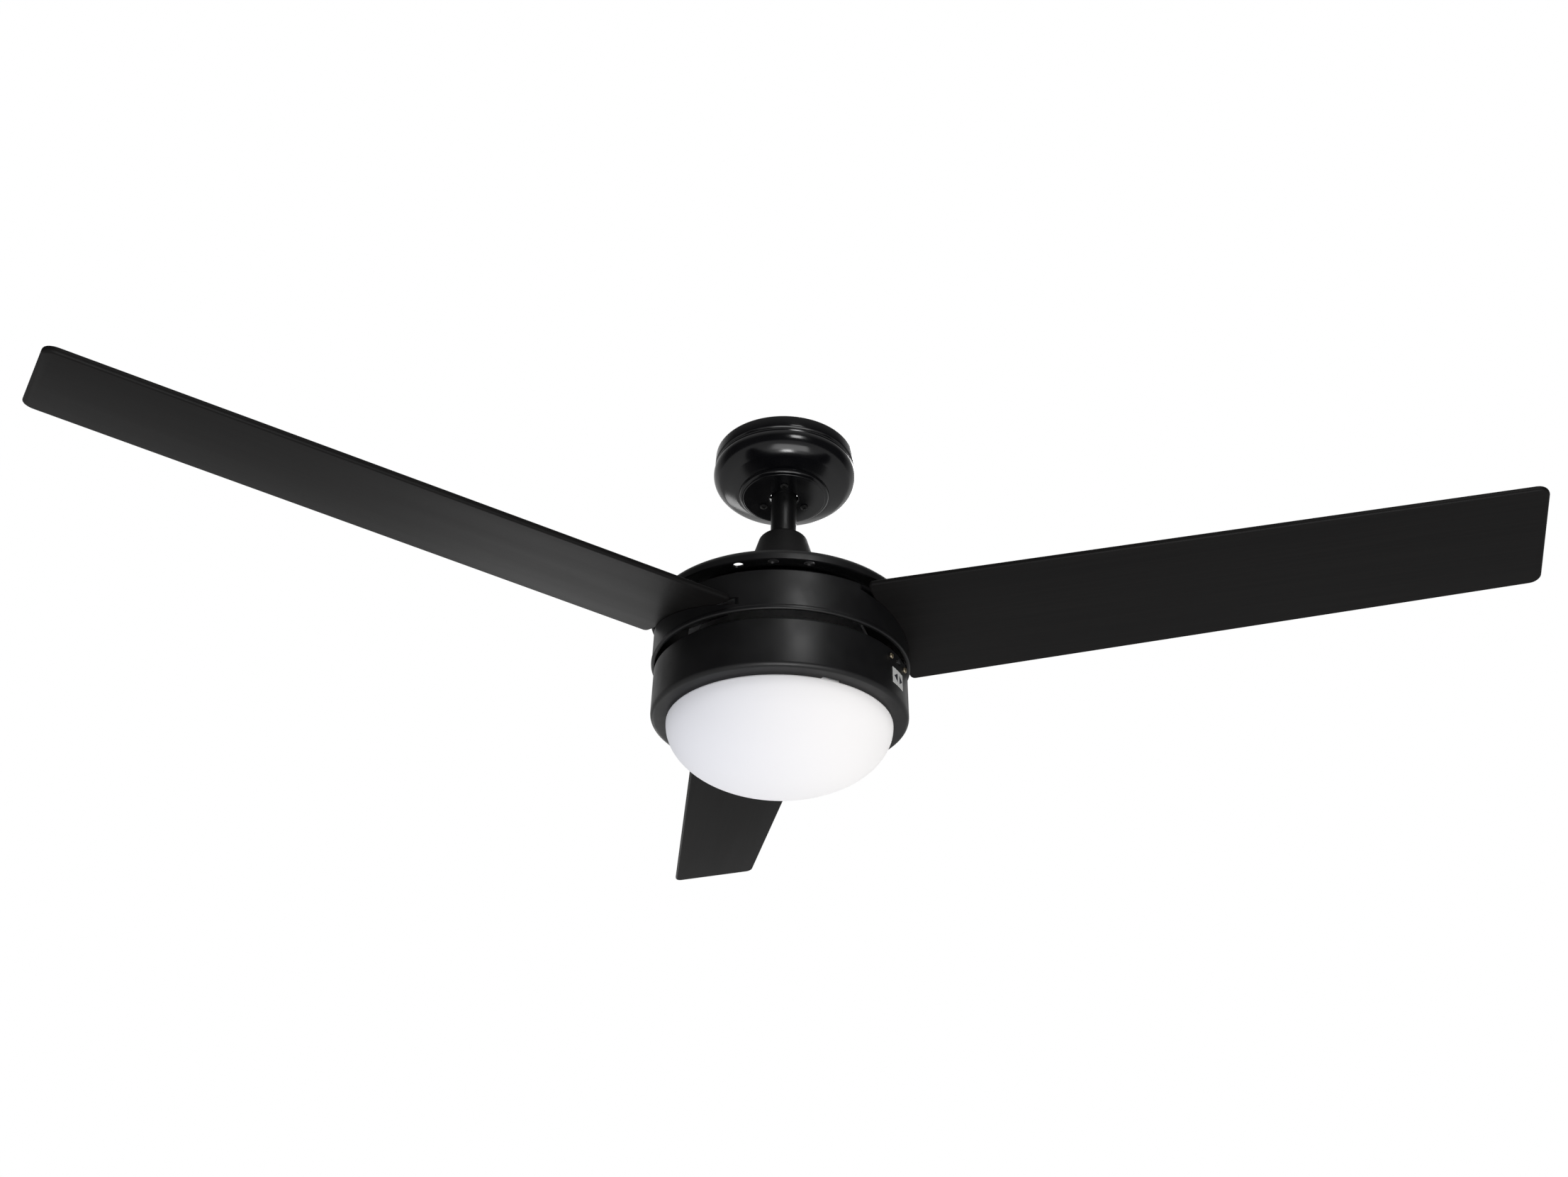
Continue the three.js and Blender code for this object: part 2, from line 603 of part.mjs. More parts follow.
function panScrewHoles() {
  return PAN_SCREW_ANGLES.map((a) => around(PAN_SCREW_RADIUS, a, bar(2.5, -280, -260, SMALL)));
}

function lightKitPlate() {
  const plate = turned([
    [SHAFT_RADIUS + GAP, PLATE_BOTTOM], [119, PLATE_BOTTOM],
    [119, PLATE_TOP], [SHAFT_RADIUS + GAP, PLATE_TOP],
  ]);
  return cut(plate, ...panScrewHoles());
}

function shaftNut() {
  const hexagon = bar(14, PLATE_BOTTOM - GAP - 8, PLATE_BOTTOM - GAP, 6);
  return cut(hexagon, bar(SHAFT_RADIUS + GAP, -290, -260));
}

// Cutters in the pan's wall for the switch: its slot and its two screws.
function switchOpenings() {
  const slot = box([110, 130], [-4.8, 4.8], [-2.1, 2.1]);
  const holes = [-1, 1].map((s) => crossBar(1.8, 100, 130, SMALL).translate(0, s * SWITCH_SCREW_PITCH, 0));
  return [slot, ...holes].map((g) => g.translate(0, 0, SWITCH_HEIGHT).rotateZ(SWITCH_ANGLE));
}

// The housing of the light kit: a top flange, a straight wall with rounded corners,
// and a flat annulus round the dome's mouth, notched for the dome's three lugs.
function lightKitPan() {
  const outer = [
    [100, PAN_TOP], [PAN_RADIUS - 1.5, PAN_TOP], [PAN_RADIUS - 0.4, PAN_TOP - 0.6],
    [PAN_RADIUS, PAN_TOP - 2],
    ...arc(PAN_RADIUS - 4, PAN_BOTTOM + 4, 4, 4, 0, -90, 4), [PAN_MOUTH, PAN_BOTTOM],
  ];
  const inner = [
    [PAN_MOUTH, PAN_BOTTOM + 2], [PAN_RADIUS - 4.5, PAN_BOTTOM + 2], [PAN_RADIUS - 1.5, PAN_BOTTOM + 5],
    [PAN_RADIUS - 1.5, PAN_TOP - 2], [100, PAN_TOP - 2],
  ];
  const notches = LUG_ANGLES.map((a) =>
    around(PAN_MOUTH, a + DOME_TURN,
      box([-4, LUG_REACH + 0.8], [-9, 9], [PAN_BOTTOM - 2, PAN_BOTTOM + 4])));
  return cut(turned([...outer, ...inner]), ...panScrewHoles(), ...switchOpenings(), ...notches);
}

// The slide switch, in its own frame: X outwards, Y along the slide.
function switchBody() {
  const body = join(
    box([106, 117], [-11, 11], [-5, 5]),
    box([116.6, 118.4], [-20.5, 20.5], [-5, 5]),
  );
  const track = box([112.5, 120], [-6.5, 6.5], [-3, 3]);
  const holes = [-1, 1].map((s) => crossBar(1.8, 110, 125, SMALL).translate(0, s * SWITCH_SCREW_PITCH, 0));
  return cut(body, track, ...holes);
}

function switchSlider() {
  const carrier = box([113, 116.3], [-3.5, 3.5], [-2.6, 2.6]);
  const thumb = box([116, 124.8], [-1.8, 1.8], [-1.5, 1.5]);
  return join(carrier, thumb).translate(0, SLIDER_REST, 0);
}

function switchScrew(side) {
  const body = screw(1.4, 9.5, 2.7, 1.8).rotateY(-Math.PI / 2);
  return body.translate(122.1, side * SWITCH_SCREW_PITCH, 0);
}

// A thin plate bent round the wall under the switch.
function switchLabel() {
  const skin = turned([
    [PAN_RADIUS + GAP, -30], [PAN_RADIUS + 0.8, -30],
    [PAN_RADIUS + 0.8, 0], [PAN_RADIUS + GAP, 0],
  ], 240);
  return common(skin, box([60, 130], LABEL_ACROSS, LABEL_BELOW));
}

function reflectorPlate() {
  const top = -292;
  return turned([
    [10, top], [117, top], [118.5, top - 1.5], [118.5, PAN_BOTTOM + 5.3], [117, PAN_BOTTOM + 5.3],
    [117, top - 2], [10, top - 2],
  ], HIDDEN);
}

// One lamp, in its own frame: the socket's back at the left, the globe to the right.
function lampSocket() {
  const barrel = crossBar(16, -76, -43).translate(0, 0, LAMP_HEIGHT);
  const foot = box([-72, -50], [-9, 9], [LAMP_HEIGHT + 10, -294.3]);
  return cut(join(barrel, foot), crossBar(13.6, -71, -40).translate(0, 0, LAMP_HEIGHT));
}

function alongX(section, sides = COARSE) {
  return turned(section, sides).rotateY(Math.PI / 2).translate(0, 0, LAMP_HEIGHT);
}

function bulbBase() {
  return alongX([[0, -70.5], [4, -70.5], [9, -67], [13, -66], [13, -43.4], [0, -43.4]]);
}

function bulbGlobe() {
  const neck = [[0, -43], [12.6, -43], [13.6, -36]];
  return alongX([...neck, ...arc(0, -7, 23, 23, -52, 90, 8).map(([r, x]) => [Math.max(r, 0), x])]);
}

// The metal collar on the glass's neck, with three lugs over the pan's annulus.
function domeCollar() {
  const ring = tube(PAN_MOUTH - 0.8, 101.3, -313.5, -305, FINE);
  const lugs = LUG_ANGLES.map((a) =>
    around(PAN_MOUTH, a, box([-1.6, LUG_REACH], [-7, 7], [PAN_BOTTOM + 2.5, PAN_BOTTOM + 5])));
  return join(ring, ...lugs);
}

// Opal glass: a straight neck inside the collar, a rolled shoulder and a shallow bowl.
function glassDome() {
  const bowl = (wall, steps) =>
    arc(0, DOME_TOP - 3, DOME_RADIUS - wall, DOME_DEPTH - 3 - wall, 0, -90, steps)
      .map(([r, z]) => [Math.max(r, 0), z]);
  const neck = 101;
  const section = [
    [neck - DOME_WALL, -305], [neck, -305], [neck, DOME_TOP], [DOME_RADIUS - 1.5, DOME_TOP],
    ...bowl(0, 8), ...bowl(DOME_WALL, 6).reverse(), [neck - DOME_WALL, DOME_TOP - 5],
  ];
  return turned(section);
}

function addLightKit() {
  add("light_kit_plate", lightKitPlate(), "matt_black");
  add("shaft_nut", shaftNut(), "steel");
  add("light_kit_pan", lightKitPan(), "satin_black");
  PAN_SCREW_ANGLES.forEach((angle, i) => {
    const body = screw(2, 8, 4, 2.4).rotateX(Math.PI).translate(0, 0, PLATE_TOP + GAP);
    add(`pan_screw_${i + 1}`, around(PAN_SCREW_RADIUS, angle, body), "zinc");
  });
  add("capacitor", box([-78, -36], [18, 38], [-289, -270.8]), "nylon");
  const side = new THREE.Group();
  side.position.z = SWITCH_HEIGHT;
  side.rotation.z = SWITCH_ANGLE;
  fan.add(side);
  add("reverse_switch_body", switchBody(), "nylon", side);
  add("reverse_switch_slider", switchSlider(), "nylon", side);
  [-1, 1].forEach((s, i) => add(`switch_screw_${i + 1}`, switchScrew(s), "brass", side));
  add("switch_label", switchLabel(), "label", side);
  add("reflector_plate", reflectorPlate(), "reflector");
  [0, 1].forEach((i) => {
    const lamp = new THREE.Group();
    lamp.rotation.z = i * Math.PI;
    fan.add(lamp);
    const offset = (geometry) => geometry.translate(0, -27, 0);
    add(`lamp_socket_${i + 1}`, offset(lampSocket()), "porcelain", lamp);
    add(`bulb_base_${i + 1}`, offset(bulbBase()), "brass", lamp);
    add(`bulb_globe_${i + 1}`, offset(bulbGlobe()), "opal_glass", lamp);
  });
  add("dome_collar", domeCollar(), "zinc");
  add("glass_dome", glassDome(), "opal_glass");
}

addCeilingPieces();
addSuspension();
addFixedMotor();
addRotor();
addLightKit();

export default fan;
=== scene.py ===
"""A ceiling fan with a light: the finished surfaces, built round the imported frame.

The origin is on the ceiling on the fan's axis, and Z points up the downrod. Sizes are held in
millimetres and become metres when a mesh is made. Every piece is an object at the origin whose
place is in its mesh, and it rides on the body of the CAD node that it stands for.
"""

import json
import logging
import math
from collections.abc import Iterable, Sequence
from dataclasses import dataclass
from enum import Enum
from functools import reduce
from operator import add
from typing import Any

import bmesh
import bpy
import numpy as np
from mathutils import Matrix


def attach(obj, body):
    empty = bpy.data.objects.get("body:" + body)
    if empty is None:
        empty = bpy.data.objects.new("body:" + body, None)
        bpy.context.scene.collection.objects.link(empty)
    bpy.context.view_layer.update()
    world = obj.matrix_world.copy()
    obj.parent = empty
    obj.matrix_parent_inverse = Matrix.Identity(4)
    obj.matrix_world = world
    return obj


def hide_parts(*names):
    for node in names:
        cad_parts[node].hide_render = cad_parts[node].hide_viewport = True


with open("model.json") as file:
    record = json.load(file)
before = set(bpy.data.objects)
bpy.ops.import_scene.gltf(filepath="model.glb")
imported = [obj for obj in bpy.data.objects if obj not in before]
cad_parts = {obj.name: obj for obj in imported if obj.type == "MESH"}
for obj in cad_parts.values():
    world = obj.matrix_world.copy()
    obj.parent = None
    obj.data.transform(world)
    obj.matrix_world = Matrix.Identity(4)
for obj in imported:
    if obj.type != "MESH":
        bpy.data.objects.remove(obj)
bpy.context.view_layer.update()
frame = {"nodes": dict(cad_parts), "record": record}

log = logging.getLogger("fan")

Array = np.ndarray
Corner = tuple[float, float, float]
MM = 0.001
TURN = 2 * math.pi
SMOOTH_BELOW = math.radians(32)
WELD = 2e-6
FLAT_WITHIN = math.radians(0.8)
FINE, MEDIUM, SMALL = 256, 96, 40
MAP_NAME = "surface_map"

RECORD = frame["record"]
BODY_OF = {node: body for body, nodes in RECORD["behaviour"]["bodies"].items() for node in nodes}


# ---- lines and surfaces ------------------------------------------------------


def rounded(corners: Sequence[Corner], closed: bool = True, steps: int = 7) -> Array:
    """A polyline whose corners are replaced by arcs that touch both of their sides.

    Each arc's centre lies on the corner's bisector at radius / sin(half the angle), and its points
    turn evenly from one side to the other.

    Args:
        corners: Points with the radius of the arc at each, all in the same unit.
        closed: Whether the last corner joins the first.
        steps: Steps along each arc.

    Returns:
        The points as an array of rows, without repeated ones.
    """
    data = np.asarray(corners, float)
    points, radii = data[:, :2], data[:, 2].copy()
    before = np.roll(points, 1, 0) - points
    after = np.roll(points, -1, 0) - points
    before /= np.linalg.norm(before, axis=1, keepdims=True)
    after /= np.linalg.norm(after, axis=1, keepdims=True)
    half = np.arccos(np.clip((before * after).sum(1), -1, 1)) / 2
    straight = half > math.pi / 2 - 1e-4
    if not closed:
        straight[[0, -1]] = True
    half[straight] = math.pi / 4
    radii[straight] = 0
    bisector = before + after
    bisector /= np.maximum(np.linalg.norm(bisector, axis=1, keepdims=True), 1e-9)
    centre = points + bisector * (radii / np.sin(half))[:, None]
    tangent = (radii / np.tan(half))[:, None]
    first = (points + before * tangent - centre)[:, None]
    last = (points + after * tangent - centre)[:, None]
    sweep = (math.pi - 2 * half)[:, None, None]
    step = np.linspace(0, 1, steps + 1)[None, :, None]
    arcs = (np.sin((1 - step) * sweep) * first + np.sin(step * sweep) * last) / np.sin(sweep)
    path = (centre[:, None] + arcs).reshape(-1, 2)
    gap = np.linalg.norm(path - np.roll(path, 1, 0), axis=1)
    keep = gap > 1e-6
    if not closed:
        keep[0] = True
    return path[keep]


def ellipse(centre: tuple[float, float], radii: tuple[float, float], start: float, end: float,
            steps: int) -> Array:
    """Points on an ellipse: centre + radii * (cos a, sin a), a from start to end in degrees."""
    angle = np.radians(np.linspace(start, end, steps + 1))
    return np.stack([centre[0] + radii[0] * np.cos(angle), centre[1] + radii[1] * np.sin(angle)], 1)


def inward(path: Array, distance: float) -> Array:
    """An open path moved square to itself: each point plus distance * (dy, -dx).

    Args:
        path: The points.
        distance: How far to move them; (dx, dy) is the unit direction of the path.

    Returns:
        The moved points.
    """
    along = np.gradient(path, axis=0)
    along /= np.linalg.norm(along, axis=1, keepdims=True)
    return path + distance * np.stack([along[:, 1], -along[:, 0]], 1)


def sheet_section(outline: Array, thickness: float) -> Array:
    """The closed section of a pressed sheet, from its outside outline, top downwards."""
    return np.concatenate([outline, inward(outline, -thickness)[::-1]])


def area_of(loop: Array) -> float:
    """Twice the signed area inside a closed loop, positive where it runs anticlockwise."""
    ahead = np.roll(loop, -1, 0)
    return float((loop[:, 0] * ahead[:, 1] - ahead[:, 0] * loop[:, 1]).sum())


@dataclass
class Surface:
    """A mesh's vertices, in millimetres, and faces, with a map coordinate each if it has a map."""

    vertices: Array
    faces: list[list[int]]
    flat: Array | None = None

    def moved(self, matrix: Matrix) -> "Surface":
        """The surface carried by a matrix, whose translation is in millimetres."""
        turn = np.array(matrix, float)
        return Surface(self.vertices @ turn[:3, :3].T + turn[:3, 3], self.faces, self.flat)

    def __add__(self, other: "Surface") -> "Surface":
        """Both surfaces as one."""
        faces = [[i + len(self.vertices) for i in face] for face in other.faces]
        return Surface(np.concatenate([self.vertices, other.vertices]), self.faces + faces)


def merged(surfaces: Iterable[Surface]) -> Surface:
    """All the surfaces as one."""
    return reduce(add, surfaces)


def lathe(section: Array, sides: int = FINE) -> Surface:
    """A closed section of radius and height, turned about Z.

    The vertex at step i of the section and step j of the turn is (r cos a, r sin a, z), where a is
    j shares of a full turn. A point on the axis is one vertex, so triangles close the poles.
    The section is taken anticlockwise, which puts the faces outwards.

    Args:
        section: The radius and height of each point of a closed loop.
        sides: Steps round the turn.

    Returns:
        The closed surface.
    """
    loop = np.asarray(section, float)
    loop = loop if area_of(loop) > 0 else loop[::-1]
    angle = np.arange(sides) * TURN / sides
    grid = np.stack([
        loop[:, :1] * np.cos(angle), loop[:, :1] * np.sin(angle), np.repeat(loop[:, 1:], sides, 1),
    ], -1)
    index = np.arange(loop.shape[0] * sides).reshape(-1, sides)
    axial = np.abs(loop[:, 0]) < 1e-6
    index[axial] = index[axial][:, :1]
    above = np.roll(index, -1, 0)
    quads = np.stack([index, np.roll(index, -1, 1), np.roll(above, -1, 1), above], -1)
    turn = np.ones(sides, bool)
    here, there = axial[:, None] & turn, np.roll(axial, -1)[:, None] & turn
    plain = quads[~here & ~there]
    fans = np.concatenate([quads[here & ~there][:, [0, 2, 3]], quads[~here & there][:, [0, 1, 2]]])
    used, order = np.unique(np.concatenate([plain.ravel(), fans.ravel()]), return_inverse=True)
    faces = order[: plain.size].reshape(-1, 4).tolist() + order[plain.size:].reshape(-1, 3).tolist()
    return Surface(grid.reshape(-1, 3)[used], faces)


def plank(outline: Array, thickness: float, edge: float, steps: int = 4) -> Surface:
    """A flat plate with rounded edges, centred on the plane z = 0.

    Each row of its rim is the outline moved inwards by edge times (1 - cos a), at the height
    (half the thickness - edge) plus edge times sin a, for a from -90 to 90 degrees.

    Args:
        outline: The plate's outline.
        thickness: Its thickness.
        edge: The radius of its rounded edges.
        steps: Steps over a quarter of a rounded edge.

    Returns:
        The plate, whose map is its plan.
    """
    loop = outline if area_of(outline) > 0 else outline[::-1]
    along = np.roll(loop, -1, 0) - np.roll(loop, 1, 0)
    along /= np.linalg.norm(along, axis=1, keepdims=True)
    outward = np.stack([along[:, 1], -along[:, 0]], 1)
    quarter = np.linspace(0, math.pi / 2, steps + 1)
    angle = np.concatenate([-quarter[::-1], quarter])
    core = np.where(np.arange(angle.size) <= steps, -1, 1) * (thickness / 2 - edge)
    inset = edge * (1 - np.cos(angle))
    rows = loop[None] - outward[None] * inset[:, None, None]
    heights = np.broadcast_to((core + edge * np.sin(angle))[:, None, None], (*rows.shape[:2], 1))
    index = np.arange(rows.shape[0] * rows.shape[1]).reshape(rows.shape[:2])
    low, high = index[:-1], index[1:]
    rim = np.stack([low, np.roll(low, -1, 1), np.roll(high, -1, 1), high], -1).reshape(-1, 4)
    faces = rim.tolist() + [index[0][::-1].tolist(), index[-1].tolist()]
    vertices = np.concatenate([rows, heights], -1).reshape(-1, 3)
    return Surface(vertices, faces, vertices[:, :2].copy())


def block(x: tuple[float, float], y: tuple[float, float], z: tuple[float, float]) -> Surface:
    """A box between two limits on each axis, for cutting with."""
    corners = [(x[0], y[0], 0), (x[1], y[0], 0), (x[1], y[1], 0), (x[0], y[1], 0)]
    return plank(rounded(corners), z[1] - z[0], 0.0, 1).moved(shift(z=sum(z) / 2))


def bar(radius: float, low: float, high: float, sides: int = SMALL) -> Surface:
    """A round bar along Z between two heights."""
    return lathe(np.array([(0, low), (radius, low), (radius, high), (0, high)]), sides)


def tilt(degrees: float, axis: str) -> Matrix:
    """A turn about one axis, in degrees."""
    return Matrix.Rotation(math.radians(degrees), 4, axis)


def shift(x: float = 0.0, y: float = 0.0, z: float = 0.0) -> Matrix:
    """A translation in millimetres."""
    return Matrix.Translation((x, y, z))


def around(radius: float, degrees: float, surface: Surface) -> Surface:
    """A surface set at a radius and an angle about Z."""
    return surface.moved(tilt(degrees, "Z") @ shift(radius))


def stadium(length: float, width: float) -> Array:
    """A slot's outline along Y with round ends."""
    a, b = width / 2, length / 2
    return rounded([(-a, -b, a * 0.98), (a, -b, a * 0.98), (a, b, a * 0.98), (-a, b, a * 0.98)])


# ---- shader maths --------------------------------------------------------------


class Term:
    """A shader socket that takes part in Python arithmetic."""

    def __init__(self, graph: "Graph", socket: bpy.types.NodeSocket) -> None:
        """Keeps the socket and the graph that it belongs to."""
        self.graph = graph
        self.socket = socket

    def _math(self, operation: str, *values: "Term | float") -> "Term":
        """A Math node on the values."""
        return self.graph.term("ShaderNodeMath", {"operation": operation}, dict(enumerate(values)))

    def __add__(self, other: "Term | float") -> "Term":
        """This plus other."""
        return self._math("ADD", self, other)

    __radd__ = __add__

    def __sub__(self, other: "Term | float") -> "Term":
        """This minus other."""
        return self._math("SUBTRACT", self, other)

    def __rsub__(self, other: float) -> "Term":
        """Other minus this."""
        return self._math("SUBTRACT", other, self)

    def __mul__(self, other: "Term | float") -> "Term":
        """This times other."""
        return self._math("MULTIPLY", self, other)

    __rmul__ = __mul__

    def root(self) -> "Term":
        """The square root."""
        return self._math("SQRT", self)

    def wave(self) -> "Term":
        """The sine."""
        return self._math("SINE", self)

    def size(self) -> "Term":
        """The value without its sign."""
        return self._math("ABSOLUTE", self)

    def most(self, other: "Term | float") -> "Term":
        """The larger of this and other."""
        return self._math("MAXIMUM", self, other)

    def ramp(self, low: float, high: float) -> "Term":
        """0 below low and 1 above high, and smooth between them."""
        return self.graph.term(
            "ShaderNodeMapRange", {"interpolation_type": "SMOOTHSTEP"},
            {"Value": self, "From Min": low, "From Max": high, "To Min": 0.0, "To Max": 1.0},
        )


class Graph:
    """A node tree that is filled by calls."""

    def __init__(self, tree: bpy.types.NodeTree) -> None:
        """Takes a tree and empties it."""
        self.tree = tree
        tree.nodes.clear()

    def node(self, kind: str, settings: dict[str, Any] | None = None,
             sockets: dict[str | int, Any] | None = None) -> bpy.types.Node:
        """Adds a node.

        Args:
            kind: The node's type.
            settings: Its own settings, which are set first.
            sockets: A value, or a Term to link, for each input by name or place.

        Returns:
            The node.
        """
        made = self.tree.nodes.new(kind)
        for key, value in (settings or {}).items():
            setattr(made, key, value)
        for key, value in (sockets or {}).items():
            if isinstance(value, Term):
                self.tree.links.new(value.socket, made.inputs[key])
            else:
                made.inputs[key].default_value = value
        return made

    def term(self, kind: str, settings: dict[str, Any] | None = None,
             sockets: dict[str | int, Any] | None = None, output: str | int = 0) -> Term:
        """Adds a node and returns one of its outputs."""
        return Term(self, self.node(kind, settings, sockets).outputs[output])

    def blend(self, mask: Term, first: Sequence[float], second: Sequence[float]) -> Term:
        """A colour that goes from first to second as the mask goes from 0 to 1."""
        return self.term("ShaderNodeMix", {"data_type": "RGBA"}, {0: mask, 6: first, 7: second}, 2)

    def noise(self, place: Term, scale: float, detail: float = 2.0) -> Term:
        """Noise from about 0.2 to 0.8, with so many features a metre."""
        sockets = {"Vector": place, "Scale": scale, "Detail": detail}
        return self.term("ShaderNodeTexNoise", None, sockets)

    def stretched(self, place: Term, factors: tuple[float, float, float]) -> Term:
        """A place with each axis scaled."""
        return self.term("ShaderNodeVectorMath", {"operation": "MULTIPLY"}, {0: place, 1: factors})

    def axes(self, place: Term) -> tuple[Term, Term, Term]:
        """The three parts of a place."""
        split = self.node("ShaderNodeSeparateXYZ", None, {0: place})
        return tuple(Term(self, output) for output in split.outputs)


# ---- finishes --------------------------------------------------------------------


class Pattern(Enum):
    """What a surface is made of, and so how its colour, gloss and relief vary."""

    POWDER = "powder coat"
    BOARD = "laminated board"
    PLATED = "plated sheet"
    CAST = "casting"
    TURNED = "turned bar"
    LAMINATED = "stacked sheets"
    WOUND = "wound wire"
    MOULDED = "moulded plastic"
    WOVEN = "woven sleeve"
    PRINTED = "printed label"
    GLAZED = "glaze"
    OPAL = "opal glass"


RELIEF_STRENGTH = 0.6
COAT_ROUGHNESS = 0.2


@dataclass(frozen=True)
class Layers:
    """A pattern's parts: where the second colour shows, where it is rougher, and its height."""

    tint: Term
    gloss: Term
    height: Term


@dataclass(frozen=True)
class Finish:
    """A surface's colour, gloss and relief.

    Attributes:
        name: The material's name.
        pattern: How it varies.
        colour: Its main colour.
        second: The colour that it varies to.
        rough: Its least and greatest roughness.
        relief: The height of its relief, in millimetres.
        metallic: 1 for bare metal.
        coat: The weight of a clear coat.
        specular: The strength of its reflection.
        chalk: How evenly it scatters light, from 0, as paint, to 1, as chalk or opal glass.
        depth: A painted glow that stands in for light falling on it, not a lamp, as a share of its
            main and of its second colour.
    """

    name: str
    pattern: Pattern
    colour: tuple[float, float, float]
    second: tuple[float, float, float]
    rough: tuple[float, float]
    relief: float
    metallic: float = 0.0
    coat: float = 0.0
    specular: float = 0.5
    chalk: float = 0.0
    depth: tuple[float, float] = (0.0, 0.0)

    def material(self) -> bpy.types.Material:
        """The finish as a material, made once.

        Returns:
            The material.
        """
        name = self.name + "_finish"
        found = bpy.data.materials.get(name)
        if found:
            return found
        made = bpy.data.materials.new(name)
        made.use_nodes = True
        graph = Graph(made.node_tree)
        layers = getattr(self, "_" + self.pattern.name.lower())(graph)
        colour = graph.blend(layers.tint, (*self.colour, 1), (*self.second, 1))
        low, high = self.rough
        bump = graph.term("ShaderNodeBump", None, {
            "Strength": RELIEF_STRENGTH, "Distance": self.relief * MM, "Height": layers.height,
        })
        shader = graph.node("ShaderNodeBsdfPrincipled", None, {
            "Base Color": colour, "Roughness": layers.gloss * (high - low) + low,
            "Metallic": self.metallic, "Coat Weight": self.coat, "Coat Roughness": COAT_ROUGHNESS,
            "Specular IOR Level": self.specular, "Diffuse Roughness": self.chalk, "Normal": bump,
            # Emission here is a painted glow that stands in for light falling on the surface; the
            # part is no lamp.
            **(self._light(graph, layers.tint) if any(self.depth) else {}),
        })
        output = graph.node("ShaderNodeOutputMaterial")
        graph.tree.links.new(shader.outputs[0], output.inputs[0])
        return made

    def _light(self, graph: Graph, tint: Term) -> dict[str, Any]:
        """The painted glow, which stands in for light falling on the surface: each colour times its
        share.

        Args:
            graph: The material's nodes.
            tint: Where the second colour shows.

        Returns:
            The shader's sockets for it.
        """
        first, second = (
            (*(share * part for part in tone), 1)
            for share, tone in zip(self.depth, (self.colour, self.second))
        )
        return {"Emission Color": graph.blend(tint, first, second), "Emission Strength": 1.0}

    @staticmethod
    def _place(graph: Graph) -> Term:
        """A point of the surface, in metres."""
        return graph.term("ShaderNodeTexCoord", output="Object")

    @staticmethod
    def _map(graph: Graph) -> Term:
        """A point of the piece's own map, in metres."""
        return graph.term("ShaderNodeUVMap", {"uv_map": MAP_NAME})

    def _powder(self, graph: Graph) -> Layers:
        """Fine orange peel, with a slow change of gloss and a few paler specks.

        Args:
            graph: The material's nodes.

        Returns:
            Its layers.
        """
        place = self._place(graph)
        peel = graph.noise(place, 1100.0, 3.0)
        specks = graph.noise(place, 2600.0, 1.0).ramp(0.62, 0.78)
        tint = graph.noise(place, 16.0, 3.0).ramp(0.35, 0.65) * 0.5 + specks * 0.5
        return Layers(tint, graph.noise(place, 45.0, 3.0).ramp(0.3, 0.7), peel)

    def _board(self, graph: Graph) -> Layers:
        """Long faint grain lines along the board, with slow cloudy bands between them.

        Args:
            graph: The material's nodes.

        Returns:
            Its layers.
        """
        place = self._map(graph)
        grain = graph.noise(graph.stretched(place, (5.0, 420.0, 1.0)), 1.0, 6.0)
        bands = graph.noise(graph.stretched(place, (3.0, 34.0, 1.0)), 1.0, 3.0)
        pores = graph.noise(graph.stretched(place, (60.0, 1900.0, 1.0)), 1.0, 2.0).ramp(0.6, 0.72)
        tint = grain.ramp(0.38, 0.66) * 0.6 + bands.ramp(0.35, 0.65) * 0.4
        return Layers(tint, bands.ramp(0.3, 0.7) * 0.6 + pores * 0.4, grain * 0.7 - pores * 0.5)

    def _plated(self, graph: Graph) -> Layers:
        """Drawing marks along Z and soft cloudy plating.

        Args:
            graph: The material's nodes.

        Returns:
            Its layers.
        """
        place = self._place(graph)
        marks = graph.noise(graph.stretched(place, (900.0, 900.0, 60.0)), 1.0, 2.0)
        clouds = graph.noise(place, 38.0, 4.0)
        return Layers(clouds.ramp(0.35, 0.7), (marks + clouds) * 0.5, marks)

    def _cast(self, graph: Graph) -> Layers:
        """The grain of a mould with shallow dimples.

        Args:
            graph: The material's nodes.

        Returns:
            Its layers.
        """
        place = self._place(graph)
        grain = graph.noise(place, 700.0, 4.0)
        stains = graph.noise(place, 40.0, 3.0)
        return Layers(stains.ramp(0.4, 0.7), grain, grain + stains * 0.4)

    def _turned(self, graph: Graph) -> Layers:
        """Tool marks: rings about the axis, 0.35 mm apart.

        Args:
            graph: The material's nodes.

        Returns:
            Its layers.
        """
        place, pitch = self._place(graph), 0.35 * MM
        x, y, z = graph.axes(place)
        reach = (x * x + y * y).root() + z * 0.7
        rings = (reach * (TURN / pitch)).wave() * 0.5 + 0.5
        clouds = graph.noise(place, 90.0, 2.0)
        return Layers(clouds.ramp(0.4, 0.7), clouds * 0.7 + rings * 0.3, rings)

    def _laminated(self, graph: Graph) -> Layers:
        """Sheets 0.5 mm thick, stacked along Z.

        Args:
            graph: The material's nodes.

        Returns:
            Its layers.
        """
        place, pitch = self._place(graph), 0.5 * MM
        sheets = (graph.axes(place)[2] * (TURN / pitch)).wave() * 0.5 + 0.5
        scale = graph.noise(place, 120.0, 3.0)
        return Layers(scale.ramp(0.4, 0.7), scale, sheets)

    def _wound(self, graph: Graph) -> Layers:
        """Turns of wire that run round the bundle, with varnish between them.

        Args:
            graph: The material's nodes.

        Returns:
            Its layers.
        """
        place, pitch = self._place(graph), 0.9 * MM
        x, y, z = graph.axes(place)
        sag = graph.noise(place, 60.0, 1.0) * 0.004
        wires = (((x * x + y * y).root() + z + sag) * (TURN / pitch)).wave() * 0.5 + 0.5
        return Layers(1 - wires, graph.noise(place, 200.0, 2.0), wires)

